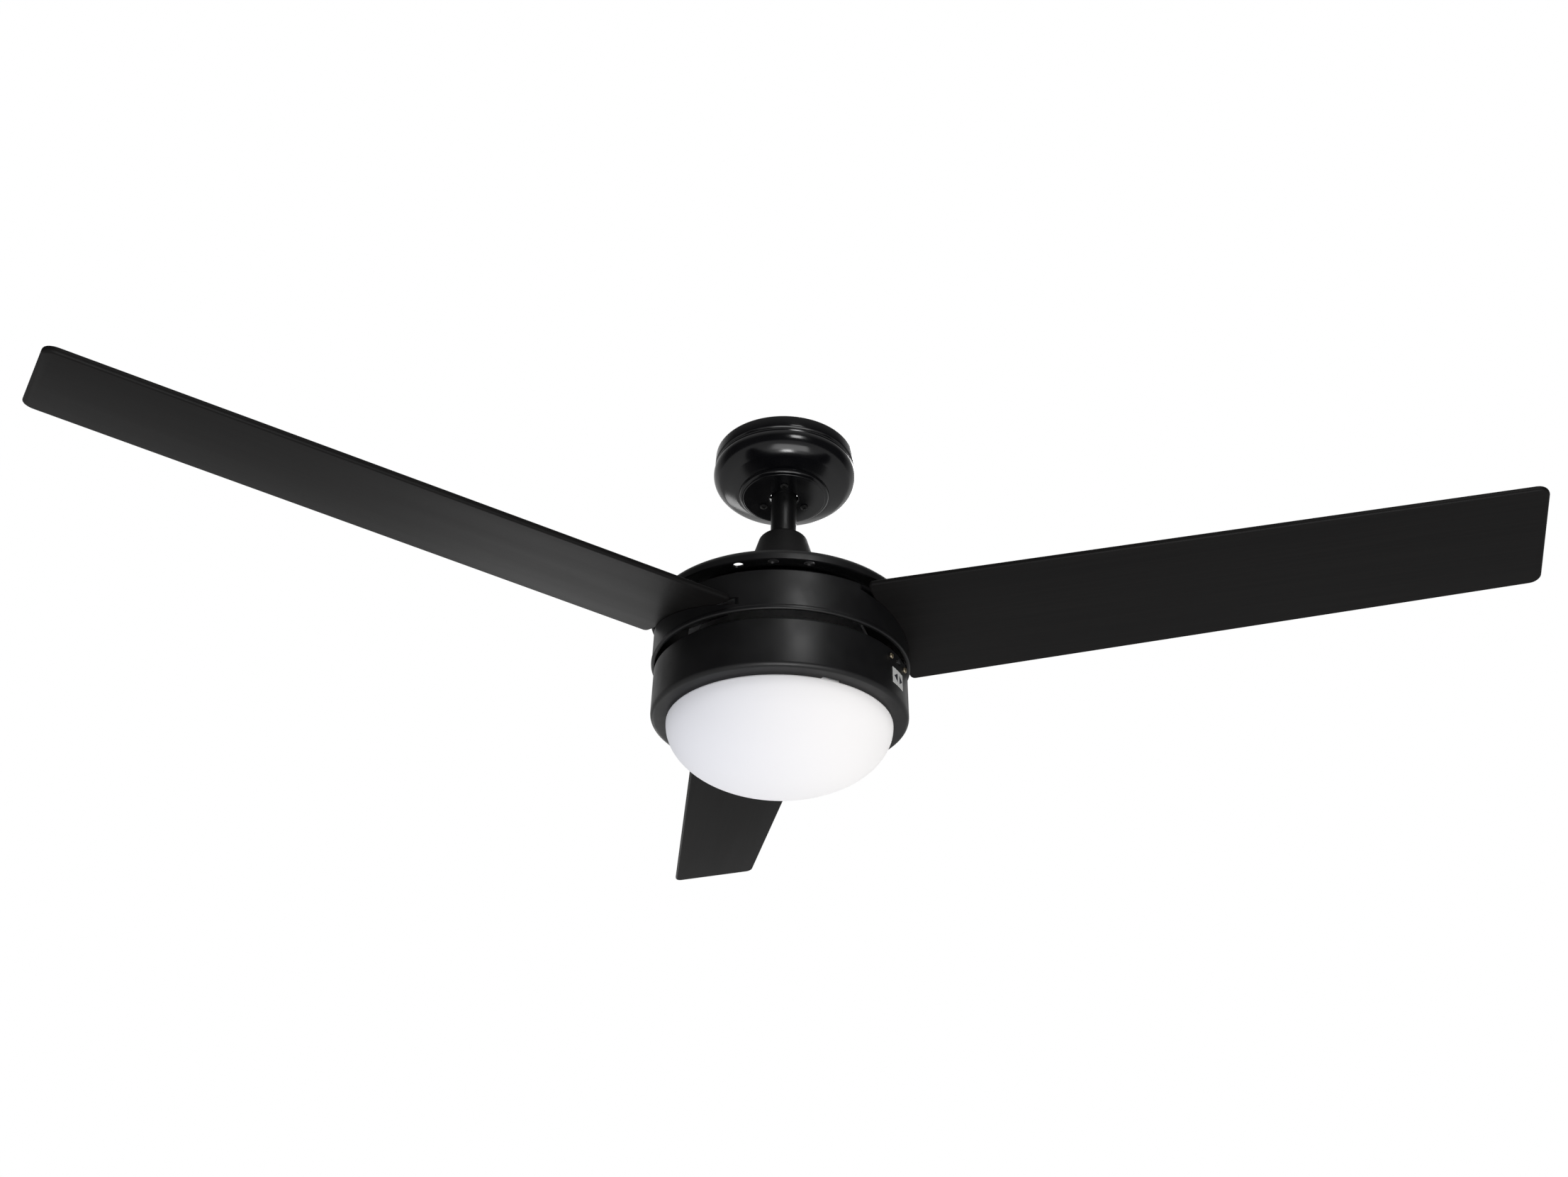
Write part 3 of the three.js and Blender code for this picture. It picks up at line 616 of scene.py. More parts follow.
    def _moulded(self, graph: Graph) -> Layers:
        """Fine spark texture from the mould.

        Args:
            graph: The material's nodes.

        Returns:
            Its layers.
        """
        place = self._place(graph)
        spark = graph.noise(place, 1500.0, 2.0)
        return Layers(graph.noise(place, 30.0, 2.0).ramp(0.4, 0.7), spark, spark)

    def _woven(self, graph: Graph) -> Layers:
        """Two sets of yarns that cross on a slant.

        Args:
            graph: The material's nodes.

        Returns:
            Its layers.
        """
        x, y, z = graph.axes(self._place(graph))
        pitch = TURN / (1.8 * MM)
        left, right = ((x + y + z) * pitch).wave(), ((x + y - z) * pitch).wave()
        weave = left.most(right) * 0.5 + 0.5
        return Layers(1 - weave, weave, weave)

    def _printed(self, graph: Graph) -> Layers:
        """Two dark arrowheads that point away from each other, on paper.

        With reach = |across - middle|, an arrowhead is where reach is past its foot and
        reach + slope * |height| is short of its tip.

        Args:
            graph: The material's nodes.

        Returns:
            Its layers.
        """
        middle, foot, tip, soft, slope = 0.4 * MM, 1.9 * MM, 8.9 * MM, 0.1 * MM, 6.8 / 4.3
        across, height, _ = graph.axes(self._map(graph))
        reach = (across - middle).size()
        inside = (height.size() * slope + reach - tip).ramp(soft, -soft)
        fibre = graph.noise(self._place(graph), 1300.0, 3.0)
        return Layers(inside * (reach - foot).ramp(-soft, soft), fibre, fibre)

    def _glazed(self, graph: Graph) -> Layers:
        """A nearly even glaze with slow waves.

        Args:
            graph: The material's nodes.

        Returns:
            Its layers.
        """
        place = self._place(graph)
        waves = graph.noise(place, 55.0, 2.0)
        return Layers(waves.ramp(0.35, 0.7), graph.noise(place, 160.0, 2.0), waves)

    def _opal(self, graph: Graph) -> Layers:
        """Blown glass with faint drawing waves, and painted shade and light: a darker, cooler
        colour on the -X side and a brighter, warmer one on the +X side.

        Args:
            graph: The material's nodes.

        Returns:
            Its layers.
        """
        place = self._place(graph)
        # Painted shade and light: the tint runs from the darker, cooler colour at -X to the
        # brighter, warmer one at +X.
        side = (graph.axes(place)[0] + graph.noise(place, 6.0, 2.0) * 0.06).ramp(-0.12, 0.14)
        waves = graph.noise(place, 22.0, 2.0)
        return Layers(side, graph.noise(place, 70.0, 2.0), waves)


SATIN_BLACK = Finish("satin_black_coat", Pattern.POWDER, (0.0050, 0.0050, 0.0056),
                     (0.0085, 0.0085, 0.0092), (0.38, 0.46), 0.02)
CANOPY_BLACK = Finish("canopy_black_coat", Pattern.POWDER, (0.0035, 0.0036, 0.0046),
                      (0.0060, 0.0060, 0.0070), (0.15, 0.21), 0.006, specular=0.7)
MATT_BLACK = Finish("matt_black_coat", Pattern.POWDER, (0.0070, 0.0066, 0.0070),
                    (0.0110, 0.0105, 0.0110), (0.52, 0.62), 0.03)
DARK_BOARD = Finish("dark_board", Pattern.BOARD, (0.0068, 0.0064, 0.0065),
                    (0.0095, 0.0089, 0.0087), (0.46, 0.52), 0.02, specular=0.15)
ZINC = Finish("zinc_plate", Pattern.PLATED, (0.50, 0.51, 0.53), (0.60, 0.59, 0.55),
              (0.26, 0.42), 0.02, 1.0)
CAST_ZINC = Finish("cast_zinc", Pattern.CAST, (0.36, 0.37, 0.38), (0.44, 0.44, 0.45),
                   (0.42, 0.60), 0.08, 1.0)
CAST_ALUMINIUM = Finish("cast_aluminium", Pattern.CAST, (0.52, 0.53, 0.54), (0.62, 0.62, 0.63),
                        (0.38, 0.55), 0.08, 1.0)
STEEL = Finish("turned_steel", Pattern.TURNED, (0.40, 0.41, 0.43), (0.47, 0.47, 0.48),
               (0.24, 0.40), 0.01, 1.0)
LAMINATION = Finish("core_sheets", Pattern.LAMINATED, (0.15, 0.15, 0.16), (0.22, 0.20, 0.19),
                    (0.45, 0.60), 0.10, 0.9)
COPPER = Finish("varnished_copper", Pattern.WOUND, (0.46, 0.18, 0.07), (0.20, 0.07, 0.03),
                (0.25, 0.40), 0.25, 0.9)
BRASS = Finish("brass", Pattern.TURNED, (0.42, 0.36, 0.26), (0.54, 0.48, 0.36),
               (0.30, 0.45), 0.01, 1.0)
NYLON = Finish("black_nylon", Pattern.MOULDED, (0.018, 0.018, 0.019), (0.026, 0.026, 0.027),
               (0.42, 0.55), 0.02)
SLEEVE = Finish("lead_sleeve", Pattern.WOVEN, (0.030, 0.030, 0.032), (0.010, 0.010, 0.011),
                (0.55, 0.80), 0.20)
PAPER = Finish("arrow_label", Pattern.PRINTED, (0.80, 0.80, 0.79), (0.012, 0.010, 0.020),
               (0.45, 0.60), 0.01)
ENAMEL = Finish("white_enamel", Pattern.GLAZED, (0.80, 0.80, 0.78), (0.86, 0.86, 0.84),
                (0.20, 0.30), 0.02, coat=0.4)
PORCELAIN = Finish("porcelain", Pattern.GLAZED, (0.76, 0.74, 0.68), (0.82, 0.80, 0.75),
                   (0.12, 0.20), 0.03, coat=0.5)
# The darker, cooler first colour and the brighter, warmer second colour are painted shade and light
# across the dome, from -X to +X.
OPAL_GLASS = Finish("opal_glass", Pattern.OPAL, (0.84, 0.85, 0.91), (0.96, 0.945, 0.94),
                    # The emission shares are a painted glow that stands in for light falling on the
                    # dome; the dome is no lamp.
                    (0.60, 0.68), 0.02, specular=0.12, chalk=0.6, depth=(0.13, 0.22))
BULB_GLASS = Finish("bulb_glass", Pattern.GLAZED, (0.84, 0.84, 0.82), (0.88, 0.88, 0.86),
                    (0.22, 0.30), 0.01)


# ---- pieces ------------------------------------------------------------------------


class Piece:
    """One visible piece: a mesh object that rides on a body and stands for CAD nodes."""

    def __init__(self, name: str, surface: Surface | bpy.types.Mesh, finish: Finish,
                 *nodes: str) -> None:
        """Makes the object.

        Args:
            name: The object's name.
            surface: Its surface in millimetres, or a finished mesh in metres.
            finish: Its finish.
            nodes: The CAD nodes that it stands for; it rides on the first one's body.
        """
        mesh = surface if isinstance(surface, bpy.types.Mesh) else self._mesh(name, surface)
        self.object = bpy.data.objects.new(name, mesh)
        bpy.context.scene.collection.objects.link(self.object)
        self.finish = finish
        self._dress()
        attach(self.object, BODY_OF[nodes[0]])
        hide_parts(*nodes)
        log.info("%s: %d vertices, rides on %s", name, len(mesh.vertices), BODY_OF[nodes[0]])

    @staticmethod
    def _mesh(name: str, surface: Surface) -> bpy.types.Mesh:
        """The surface as a mesh in metres, with its map.

        Args:
            name: The mesh's name.
            surface: The surface in millimetres.

        Returns:
            The mesh.
        """
        mesh = bpy.data.meshes.new(name)
        mesh.from_pydata((surface.vertices * MM).tolist(), [], surface.faces)
        if surface.flat is not None:
            corners = np.zeros(len(mesh.loops), np.int32)
            mesh.loops.foreach_get("vertex_index", corners)
            layer = mesh.uv_layers.new(name=MAP_NAME)
            layer.data.foreach_set("uv", (surface.flat * MM)[corners].ravel().astype(np.float32))
        return mesh

    def _dress(self) -> None:
        """Shades the mesh smooth up to an angle and gives it its finish."""
        mesh = self.object.data
        mesh.shade_smooth()
        mesh.set_sharp_from_angle(angle=SMOOTH_BELOW)
        mesh.materials.clear()
        mesh.materials.append(self.finish.material())

    def carve(self, cutters: Iterable[Surface]) -> "Piece":
        """Cuts the cutters out of the mesh.

        Args:
            cutters: Closed surfaces that don't overlap.

        Returns:
            This piece.
        """
        name = self.object.name
        tool = bpy.data.objects.new("tool", self._mesh("tool", merged(cutters)))
        bpy.context.scene.collection.objects.link(tool)
        cut = self.object.modifiers.new("cut", "BOOLEAN")
        cut.operation, cut.solver, cut.object = "DIFFERENCE", "EXACT", tool
        graph = bpy.context.evaluated_depsgraph_get()
        mesh = bpy.data.meshes.new_from_object(self.object.evaluated_get(graph))
        self.object.modifiers.clear()
        self.object.data = mesh
        mesh.name = name
        bpy.data.objects.remove(tool)
        self._dress()
        return self

    def soften(self, width: float, segments: int = 2, above: float = 40.0) -> "Piece":
        """Rounds the sharp edges.

        Args:
            width: The width of the rounding, in millimetres.
            segments: Steps over it.
            above: The angle that an edge is sharp from, in degrees.

        Returns:
            This piece.
        """
        bevel = self.object.modifiers.new("softened", "BEVEL")
        bevel.width, bevel.segments = width * MM, segments
        bevel.limit_method, bevel.angle_limit = "ANGLE", math.radians(above)
        return self


def refined(node: str, finish: Finish, edge: float) -> Piece:
    """A CAD node's shape as one welded mesh, with its flat faces whole and its edges rounded.

    Args:
        node: The CAD node.
        finish: Its finish.
        edge: The width of its rounded edges, in millimetres.

    Returns:
        The piece that stands for the node.
    """
    mesh = frame["nodes"][node].data.copy()
    shape = bmesh.new()
    shape.from_mesh(mesh)
    bmesh.ops.remove_doubles(shape, verts=shape.verts, dist=WELD)
    bmesh.ops.dissolve_limit(shape, angle_limit=FLAT_WITHIN, verts=shape.verts, edges=shape.edges)
    shape.to_mesh(mesh)
    shape.free()
    return Piece(node + "_finished", mesh, finish, node).soften(edge, above=50.0)


@dataclass(frozen=True)
class Screw:
    """A pan-head screw with a cross recess, its head's seat at z = 0 and its head above.

    Attributes:
        shank: The shank's radius.
        length: The shank's length.
        head: The head's radius.
        height: The head's height.
    """

    shank: float
    length: float
    head: float
    height: float

    def surface(self) -> Surface:
        """A head that is a quarter ellipse over a short rim, on a shank with a blunt point.

        Returns:
            The screw without its recess.
        """
        dome = ellipse((0, self.height * 0.35), (self.head, self.height * 0.65), 0, 90, 8)
        dome[-1, 0] = 0
        shank, foot = self.shank, -self.length
        point = [(0, foot), (shank * 0.6, foot), (shank, foot + 1)]
        return lathe(np.concatenate([point, [(shank, 0), (self.head, 0)], dome]), SMALL)

    def recess(self) -> list[Surface]:
        """The two arms of the cross.

        Returns:
            A cutter for each arm.
        """
        long, wide = self.head * 0.62, self.head * 0.16
        deep = self.height * 0.35, self.height + 1
        arms = (long, wide), (wide, long)
        return [block((-x, x), (-y, y), deep) for x, y in arms]

    def fit(self, node: str, matrix: Matrix, finish: Finish) -> None:
        """Sets the screw in its place.

        Args:
            node: The CAD node that it stands for.
            matrix: The turn and place of its seat.
            finish: Its finish.
        """
        piece = Piece(node + "_head", self.surface().moved(matrix), finish, node)
        for arm in self.recess():
            piece.carve([arm.moved(matrix)])


# ---- the ceiling end --------------------------------------------------------------


@dataclass
class CeilingEnd:
    """The bracket, the ball and the canopy, in millimetres."""

    canopy_radius: float = 74.0
    lip_radius: float = 45.0
    floor_hole: float = 15.4
    bottom: float = -54.0
    sheet: float = 1.6
    screw_radius: float = 25.0
    screw_angles: tuple[float, ...] = (-90.0, 30.0, 150.0)
    ball_radius: float = 22.0
    ball_centre: float = -22.3
    ball_top: float = -9.0
    ball_bottom: float = -38.6
    rod_hole: float = 13.65
    plate_half: tuple[float, float] = (54.0, 19.0)
    strap_half: float = 32.0
    strap_bottom: float = -38.0
    strap_sheet: float = 2.0
    slot_reach: float = 44.5
    slot_size: tuple[float, float] = (16.0, 5.0)
    seat_radius: float = 17.5
    mouth_half: float = 14.5

    def build(self) -> None:
        """Builds every piece of the ceiling end."""
        self._bracket()
        self._ball()
        self._canopy()
        screw = Screw(2.0, 9.0, 4.0, 2.2)
        for i, angle in enumerate(self.screw_angles):
            seat = tilt(angle, "Z") @ shift(self.screw_radius, 0, self.bottom - 0.3)
            screw.fit(f"canopy_screw_{i + 1}", seat @ tilt(180, "X"), MATT_BLACK)

    def _bracket(self) -> None:
        """A strap bent into a U under a slotted plate, with a seat that is open at the back."""
        x, y = self.plate_half
        corners = [(-x, -y, 3), (x, -y, 3), (x, y, 3), (-x, y, 3)]
        plate = plank(rounded(corners), self.strap_sheet, 0.35)
        out, low, top = self.strap_half, self.strap_bottom, -1.8
        inside, seat = out - self.strap_sheet, low + self.strap_sheet
        strap = plank(rounded([
            (-out, top, 0), (-out, low, 4.5), (out, low, 4.5), (out, top, 0),
            (inside, top, 0), (inside, seat, 2.5), (-inside, seat, 2.5), (-inside, top, 0),
        ]), 2 * y - 0.1, 0.35).moved(tilt(90, "X"))
        slot = plank(stadium(*self.slot_size), 6, 0.0, 1)
        slots = [slot.moved(shift(self.slot_reach * side)) for side in (-1, 1)]
        through = low - 3, seat + 3
        mouth = block((-self.mouth_half, self.mouth_half), (0, 25), through)
        plate = plate.moved(shift(z=-self.strap_sheet / 2))
        bracket = Piece("bracket_strap", plate + strap, MATT_BLACK, "ceiling_bracket")
        bracket.carve(slots).carve([bar(self.seat_radius, *through, MEDIUM)]).carve([mouth])

    def _ball(self) -> None:
        """A ball cut flat at both ends, bored for the rod and cross bored for its pin."""
        low, high = self.ball_bottom, self.ball_top
        start, end = (
            math.degrees(math.asin((z - self.ball_centre) / self.ball_radius)) for z in (low, high)
        )
        belly = ellipse((0, self.ball_centre), (self.ball_radius,) * 2, start + 1, end - 1, 40)
        section = np.concatenate([[(self.rod_hole, low)], belly, [(self.rod_hole, high)]])
        pin = bar(3.3, -30, 30).moved(shift(z=self.ball_centre) @ tilt(90, "Y"))
        grub = bar(2.4, 0, 30).moved(shift(z=-15) @ tilt(-90, "X"))
        ball = Piece("hanger_ball_moulding", lathe(section, MEDIUM), NYLON, "hanger_ball")
        ball.carve([pin]).carve([grub])
        refined("hanger_pin", STEEL, 0.4)
        refined("hanger_set_screw", STEEL, 0.3)

    def _screw_holes(self) -> list[Surface]:
        """Cutters for the canopy's three screws."""
        return [around(self.screw_radius, a, bar(2.5, -60, -45)) for a in self.screw_angles]

    def _canopy(self) -> None:
        """A spun bowl: a band, a groove, a full belly, a short neck and a lip at a flat floor."""
        belly = ellipse((self.canopy_radius - 24, -26), (24, 20), 17, -58, 26)
        outline = rounded([
            (70.6, -1.5, 0), (72.5, -1.5, 0.9), (73.0, -13.2, 1.0), (71.7, -14.6, 0.5),
            (71.7, -16.6, 0.5), (73.2, -18.4, 0.9), *((r, z, 0.0) for r, z in belly),
            (51.2, -46.4, 2.4), (46.6, -47.2, 1.6), (45.7, -51.7, 1.8), (self.floor_hole, -51.7, 0),
        ], closed=False, steps=5)
        bowl = lathe(sheet_section(outline, self.sheet))
        canopy = Piece("canopy_bowl", bowl, CANOPY_BLACK, "canopy")
        canopy.carve(self._screw_holes())
        low, hole = self.bottom, self.floor_hole
        top, lip = low + 2, self.lip_radius - 1.2
        ring = rounded([(hole, top, 0.2), (lip, top, 0.3), (lip, low, 1.1), (hole, low, 0.7)])
        piece = Piece("canopy_trim_ring", lathe(ring), CANOPY_BLACK, "canopy_bottom_ring")
        piece.carve(self._screw_holes())


# ---- rod, coupling and their cover ---------------------------------------------------


@dataclass
class Suspension:
    """The downrod, the coupling on the motor shaft and the leads, in millimetres."""

    rod_radius: float = 13.35
    rod_bore: float = 10.0
    rod_top: float = -6.0
    rod_bottom: float = -150.0
    pin_height: float = -22.3
    clevis_height: float = -140.0
    cover_top: float = -107.0
    cover_bottom: float = -175.7
    cover_shoulder: float = 24.2
    cover_foot: float = 43.4
    cover_corner: float = 4.2
    sheet: float = 1.5

    def build(self) -> None:
        """Builds the rod, the coupling with its pins and screws, the cover and the leads."""
        rod = rounded([
            (self.rod_bore, self.rod_bottom, 0.4), (self.rod_radius, self.rod_bottom, 0.6),
            (self.rod_radius, self.rod_top, 0.6), (self.rod_bore, self.rod_top, 0.4),
        ])
        holes = [self._cross(3.3, z) for z in (self.pin_height, self.clevis_height)]
        Piece("rod_tube", lathe(rod, MEDIUM), SATIN_BLACK, "downrod").carve(holes)
        self._coupling()
        self._cover()
        self._leads()

    @staticmethod
    def _cross(radius: float, height: float) -> Surface:
        """A bar along X at a height."""
        return bar(radius, -40, 40).moved(shift(z=height) @ tilt(90, "Y"))

    def _coupling(self) -> None:
        """The cast socket: a long neck on a flange, bored for the rod above and the shaft below."""
        section = rounded([
            (13.65, -120, 0.5), (18.2, -120, 1.2), (18.5, -166, 3.0), (27, -169, 1.2),
            (27, -175.6, 0.8), (8.3, -175.6, 0.3), (8.3, -164, 0.3), (13.65, -160, 0.5),
        ])
        screws = bar(3.4, -40, 40).moved(shift(z=-128) @ tilt(90, "X"))
        piece = Piece("coupling_casting", lathe(section, MEDIUM), CAST_ZINC, "motor_coupling")
        piece.carve([self._cross(3.3, self.clevis_height)]).carve([screws])
        for node, edge in (("pin", 0.4), ("clip", 0.1), ("set_screw_1", 0.3), ("set_screw_2", 0.3)):
            refined("coupling_" + node, STEEL, edge)

    def _cover(self) -> None:
        """A straight cone with a rounded shoulder under its flat top."""
        outline = rounded([
            (self.rod_radius + 0.9, self.cover_top, 0),
            (self.cover_shoulder - 1, self.cover_top, self.cover_corner),
            (self.cover_foot, self.cover_bottom, 0),
        ], closed=False, steps=12)
        cone = lathe(sheet_section(outline, self.sheet))
        Piece("coupling_cone", cone, MATT_BLACK, "coupling_cover").soften(0.3, above=60.0)

    def _leads(self) -> None:
        """A round sleeve along a path in the plane x = 0.

        The path is straight at y = 6.4, eases to the axis between two heights by a smooth step, and
        goes on down the axis. A ring of the sleeve is the path's point plus the radius times
        (cos a) X + (sin a) times the path's normal.
        """
        radius, sides, beside = 2.4, 24, 6.4
        head, turn_top, turn_end, foot = -4.5, -145.5, -164.0, -295.0
        z = np.concatenate([
            np.linspace(head, turn_top, 40)[:-1], np.linspace(turn_top, turn_end, 30)[:-1],
            np.linspace(turn_end, foot, 40),
        ])
        share = np.clip((z - turn_top) / (turn_end - turn_top), 0, 1)
        y = beside * (1 - share * share * (3 - 2 * share))
        line = np.stack([y, z], 1)
        along = np.gradient(line, axis=0)
        along /= np.linalg.norm(along, axis=1, keepdims=True)
        angle = np.arange(sides) * TURN / sides
        ring_x = np.broadcast_to(radius * np.cos(angle), (z.size, sides))
        ring_y = y[:, None] - radius * np.sin(angle) * along[:, 1:]
        ring_z = z[:, None] + radius * np.sin(angle) * along[:, :1]
        index = np.arange(z.size * sides).reshape(-1, sides)
        low, high = index[:-1], index[1:]
        wall = np.stack([low, high, np.roll(high, -1, 1), np.roll(low, -1, 1)], -1).reshape(-1, 4)
        faces = wall.tolist() + [index[0].tolist(), index[-1][::-1].tolist()]
        vertices = np.stack([ring_x, ring_y, ring_z], -1).reshape(-1, 3)
        Piece("lead_sleeve_tube", Surface(vertices, faces), SLEEVE, "lead_bundle")


# ---- motor ------------------------------------------------------------------------------


@dataclass
class Motor:
    """The fixed cover over the motor and what it holds, in millimetres."""

    rim_radius: float = 127.5
    rim_top: float = -201.0
    rim_bottom: float = -211.0
    crown: float = -176.0
    shaft: float = 8.0
    sheet: float = 2.0
    vent_groups: int = 4
    vents_in_group: int = 3
    vent_radius: float = 107.3
    vent_first: float = -112.5
    vent_pitch: float = 18.0
    vent_half: tuple[float, float] = (4.1, 5.0)

    def build(self) -> None:
        """Builds the top cover, the shaft and the motor's inside."""
        outline = rounded([
            (self.shaft + 0.3, self.crown, 0), (61, self.crown, 5), (97, -198.2, 9),
            (104, -200.3, 12),
            (self.rim_radius, self.rim_top, 5.4), (self.rim_radius, self.rim_bottom, 0),
        ], closed=False, steps=10)
        oval = Matrix.Diagonal((*self.vent_half, 1, 1))
        vent = bar(1, self.rim_top - 6, self.rim_top + 6).moved(oval)
        turns = [
            self.vent_first + i * self.vent_pitch + group * 360 / self.vent_groups
            for group in range(self.vent_groups) for i in range(self.vents_in_group)
        ]
        cap = lathe(sheet_section(outline, self.sheet))
        cover = Piece("motor_cap", cap, SATIN_BLACK, "motor_top_cover")
        cover.carve([around(self.vent_radius, turn, vent) for turn in turns])
        shaft = rounded([
            (5, -292, 0.3), (self.shaft, -292, 0.8), (self.shaft, -265.7, 0.2), (11, -265.7, 0.4),
            (11, -261.5, 0.4), (self.shaft, -261.5, 0.2), (self.shaft, -165, 0.8), (5, -165, 0.3),
        ])
        Piece("shaft_bar", lathe(shaft, MEDIUM), STEEL, "motor_shaft")
        refined("stator_core", LAMINATION, 0.15)
        refined("stator_winding", COPPER, 0.8)
        for node, low in (("upper_bearing", -190), ("lower_bearing", -259)):
            top = low + 7
            ring = rounded([(8.3, low, 0.5), (17, low, 0.6), (17, top, 0.6), (8.3, top, 0.5)])
            Piece(node + "_ring", lathe(ring, MEDIUM), STEEL, node)


@dataclass
class Rotor:
    """The turning ring with its shells, irons and blades, in millimetres."""

    radius: float = 125.0
    top: float = -219.0
    bottom: float = -261.0
    wall: float = 3.0
    web: float = 86.0
    sweep: float = 659.0
    plane: float = -240.0
    rise: float = 6.7
    first: float = -22.0
    pitch: float = -11.5
    droop: float = 1.5
    thick: float = 5.5
    edge: float = 2.3
    tip_half: float = 55.4
    root_half: float = 72.0
    shoulder: float = 112.0
    tongue_start: float = 90.0
    tongue_half: float = 40.0
    clear: float = 0.8
    screw_along: float = 103.0
    screw_across: float = 22.0

    def build(self) -> None:
        """Builds the ring, the shells, the core, and each blade with its iron and screws."""
        self._ring()
        self._shells()
        screw = Screw(2.2, 11.0, 4.2, 2.4)
        for i in range(3):
            name = f"blade_{i + 1}"
            Piece(f"{name}_board", self._board().moved(self.blade_frame(i)), DARK_BOARD, name)
            refined(f"blade_iron_{i + 1}", ZINC, 0.4)
            for j, side in enumerate((-1, 1)):
                seat = shift(self.screw_along, self.screw_across * side, -self.thick / 2 - 0.3)
                place = self.blade_frame(i) @ seat @ tilt(180, "X")
                screw.fit(f"{name}_screw_{j + 1}", place, ZINC)

    def blade_frame(self, index: int) -> Matrix:
        """A blade's own frame: X along it, Y across it and Z square to its face."""
        turn = tilt(self.first + 120 * index, "Z") @ shift(z=self.plane + self.rise)
        return turn @ tilt(self.droop, "Y") @ tilt(self.pitch, "X")

    def _board(self) -> Surface:
        """A tapered board with rounded edges and corners, and a narrower tongue at its root.

        Returns:
            The board in its own frame.
        """
        half = [
            (self.tongue_start, -self.tongue_half, 4), (self.shoulder, -self.tongue_half, 1.5),
            (self.shoulder, -self.root_half, 5), (self.sweep, -self.tip_half, 9),
        ]
        outline = rounded(half + [(u, -v, r) for u, v, r in reversed(half)], steps=10)
        return plank(outline, self.thick, self.edge, 5)

    def _ring(self) -> None:
        """A drum with a web inside its top and a rolled bead round its lower edge."""
        inner, web = self.radius - self.wall, self.top - 2
        section = rounded([
            (self.web, web, 0.3), (inner, web, 1.0), (inner, self.bottom, 0.7),
            (self.radius + 0.6, self.bottom, 1.7), (self.radius + 0.6, self.bottom + 3.4, 1.4),
            (self.radius, self.bottom + 4.4, 1.4), (self.radius, self.top, 2.4),
            (self.web, self.top, 0.3),
        ])
        half, across = self.thick / 2 + self.clear, self.root_half + self.clear
        slot = block((self.shoulder - 8, 145), (-across, across), (-half, half))
        ring = Piece("rotor_drum", lathe(section, 2 * FINE), SATIN_BLACK, "rotor_ring")
        ring.carve([slot.moved(self.blade_frame(i)) for i in range(3)])

    def _shells(self) -> None:
        """The two halves of the motor's casing, each a hub, a sloping end and a bolted flange."""
        for node, side, face, end, hub, seat in (
            ("rotor_upper_shell", 1, -223.3, -198, -182, -190.3),
            ("rotor_lower_shell", -1, -223.6, -252, -260, -251.7),
        ):
            section = rounded([
                (92, face, 0.3), (92, face + 2 * side, 0.6), (83, face + 2 * side, 1.0),
                (83, end - 3 * side, 2.0), (78, end, 4.0), (21.3, seat + 2 * side, 2.0),
                (21.3, hub, 0.8), (17.3, hub, 0.4), (17.3, seat, 0.2), (12.5, seat, 0.2),
                (12.5, seat - 1.5 * side, 0.3), (21.3, seat - 1.5 * side, 1.0),
                (77, end - 2 * side, 3.0), (81, end - 4 * side, 1.5),
                (81, face, 0.3),
            ])
            Piece(node + "_casting", lathe(section, 2 * MEDIUM), CAST_ALUMINIUM, node)
        core = np.array([(69.5, -237), (80.7, -237), (80.7, -215), (69.5, -215)])
        Piece("rotor_core_stack", lathe(core, 2 * MEDIUM), LAMINATION, "rotor_core")


# ---- light kit -----------------------------------------------------------------------------


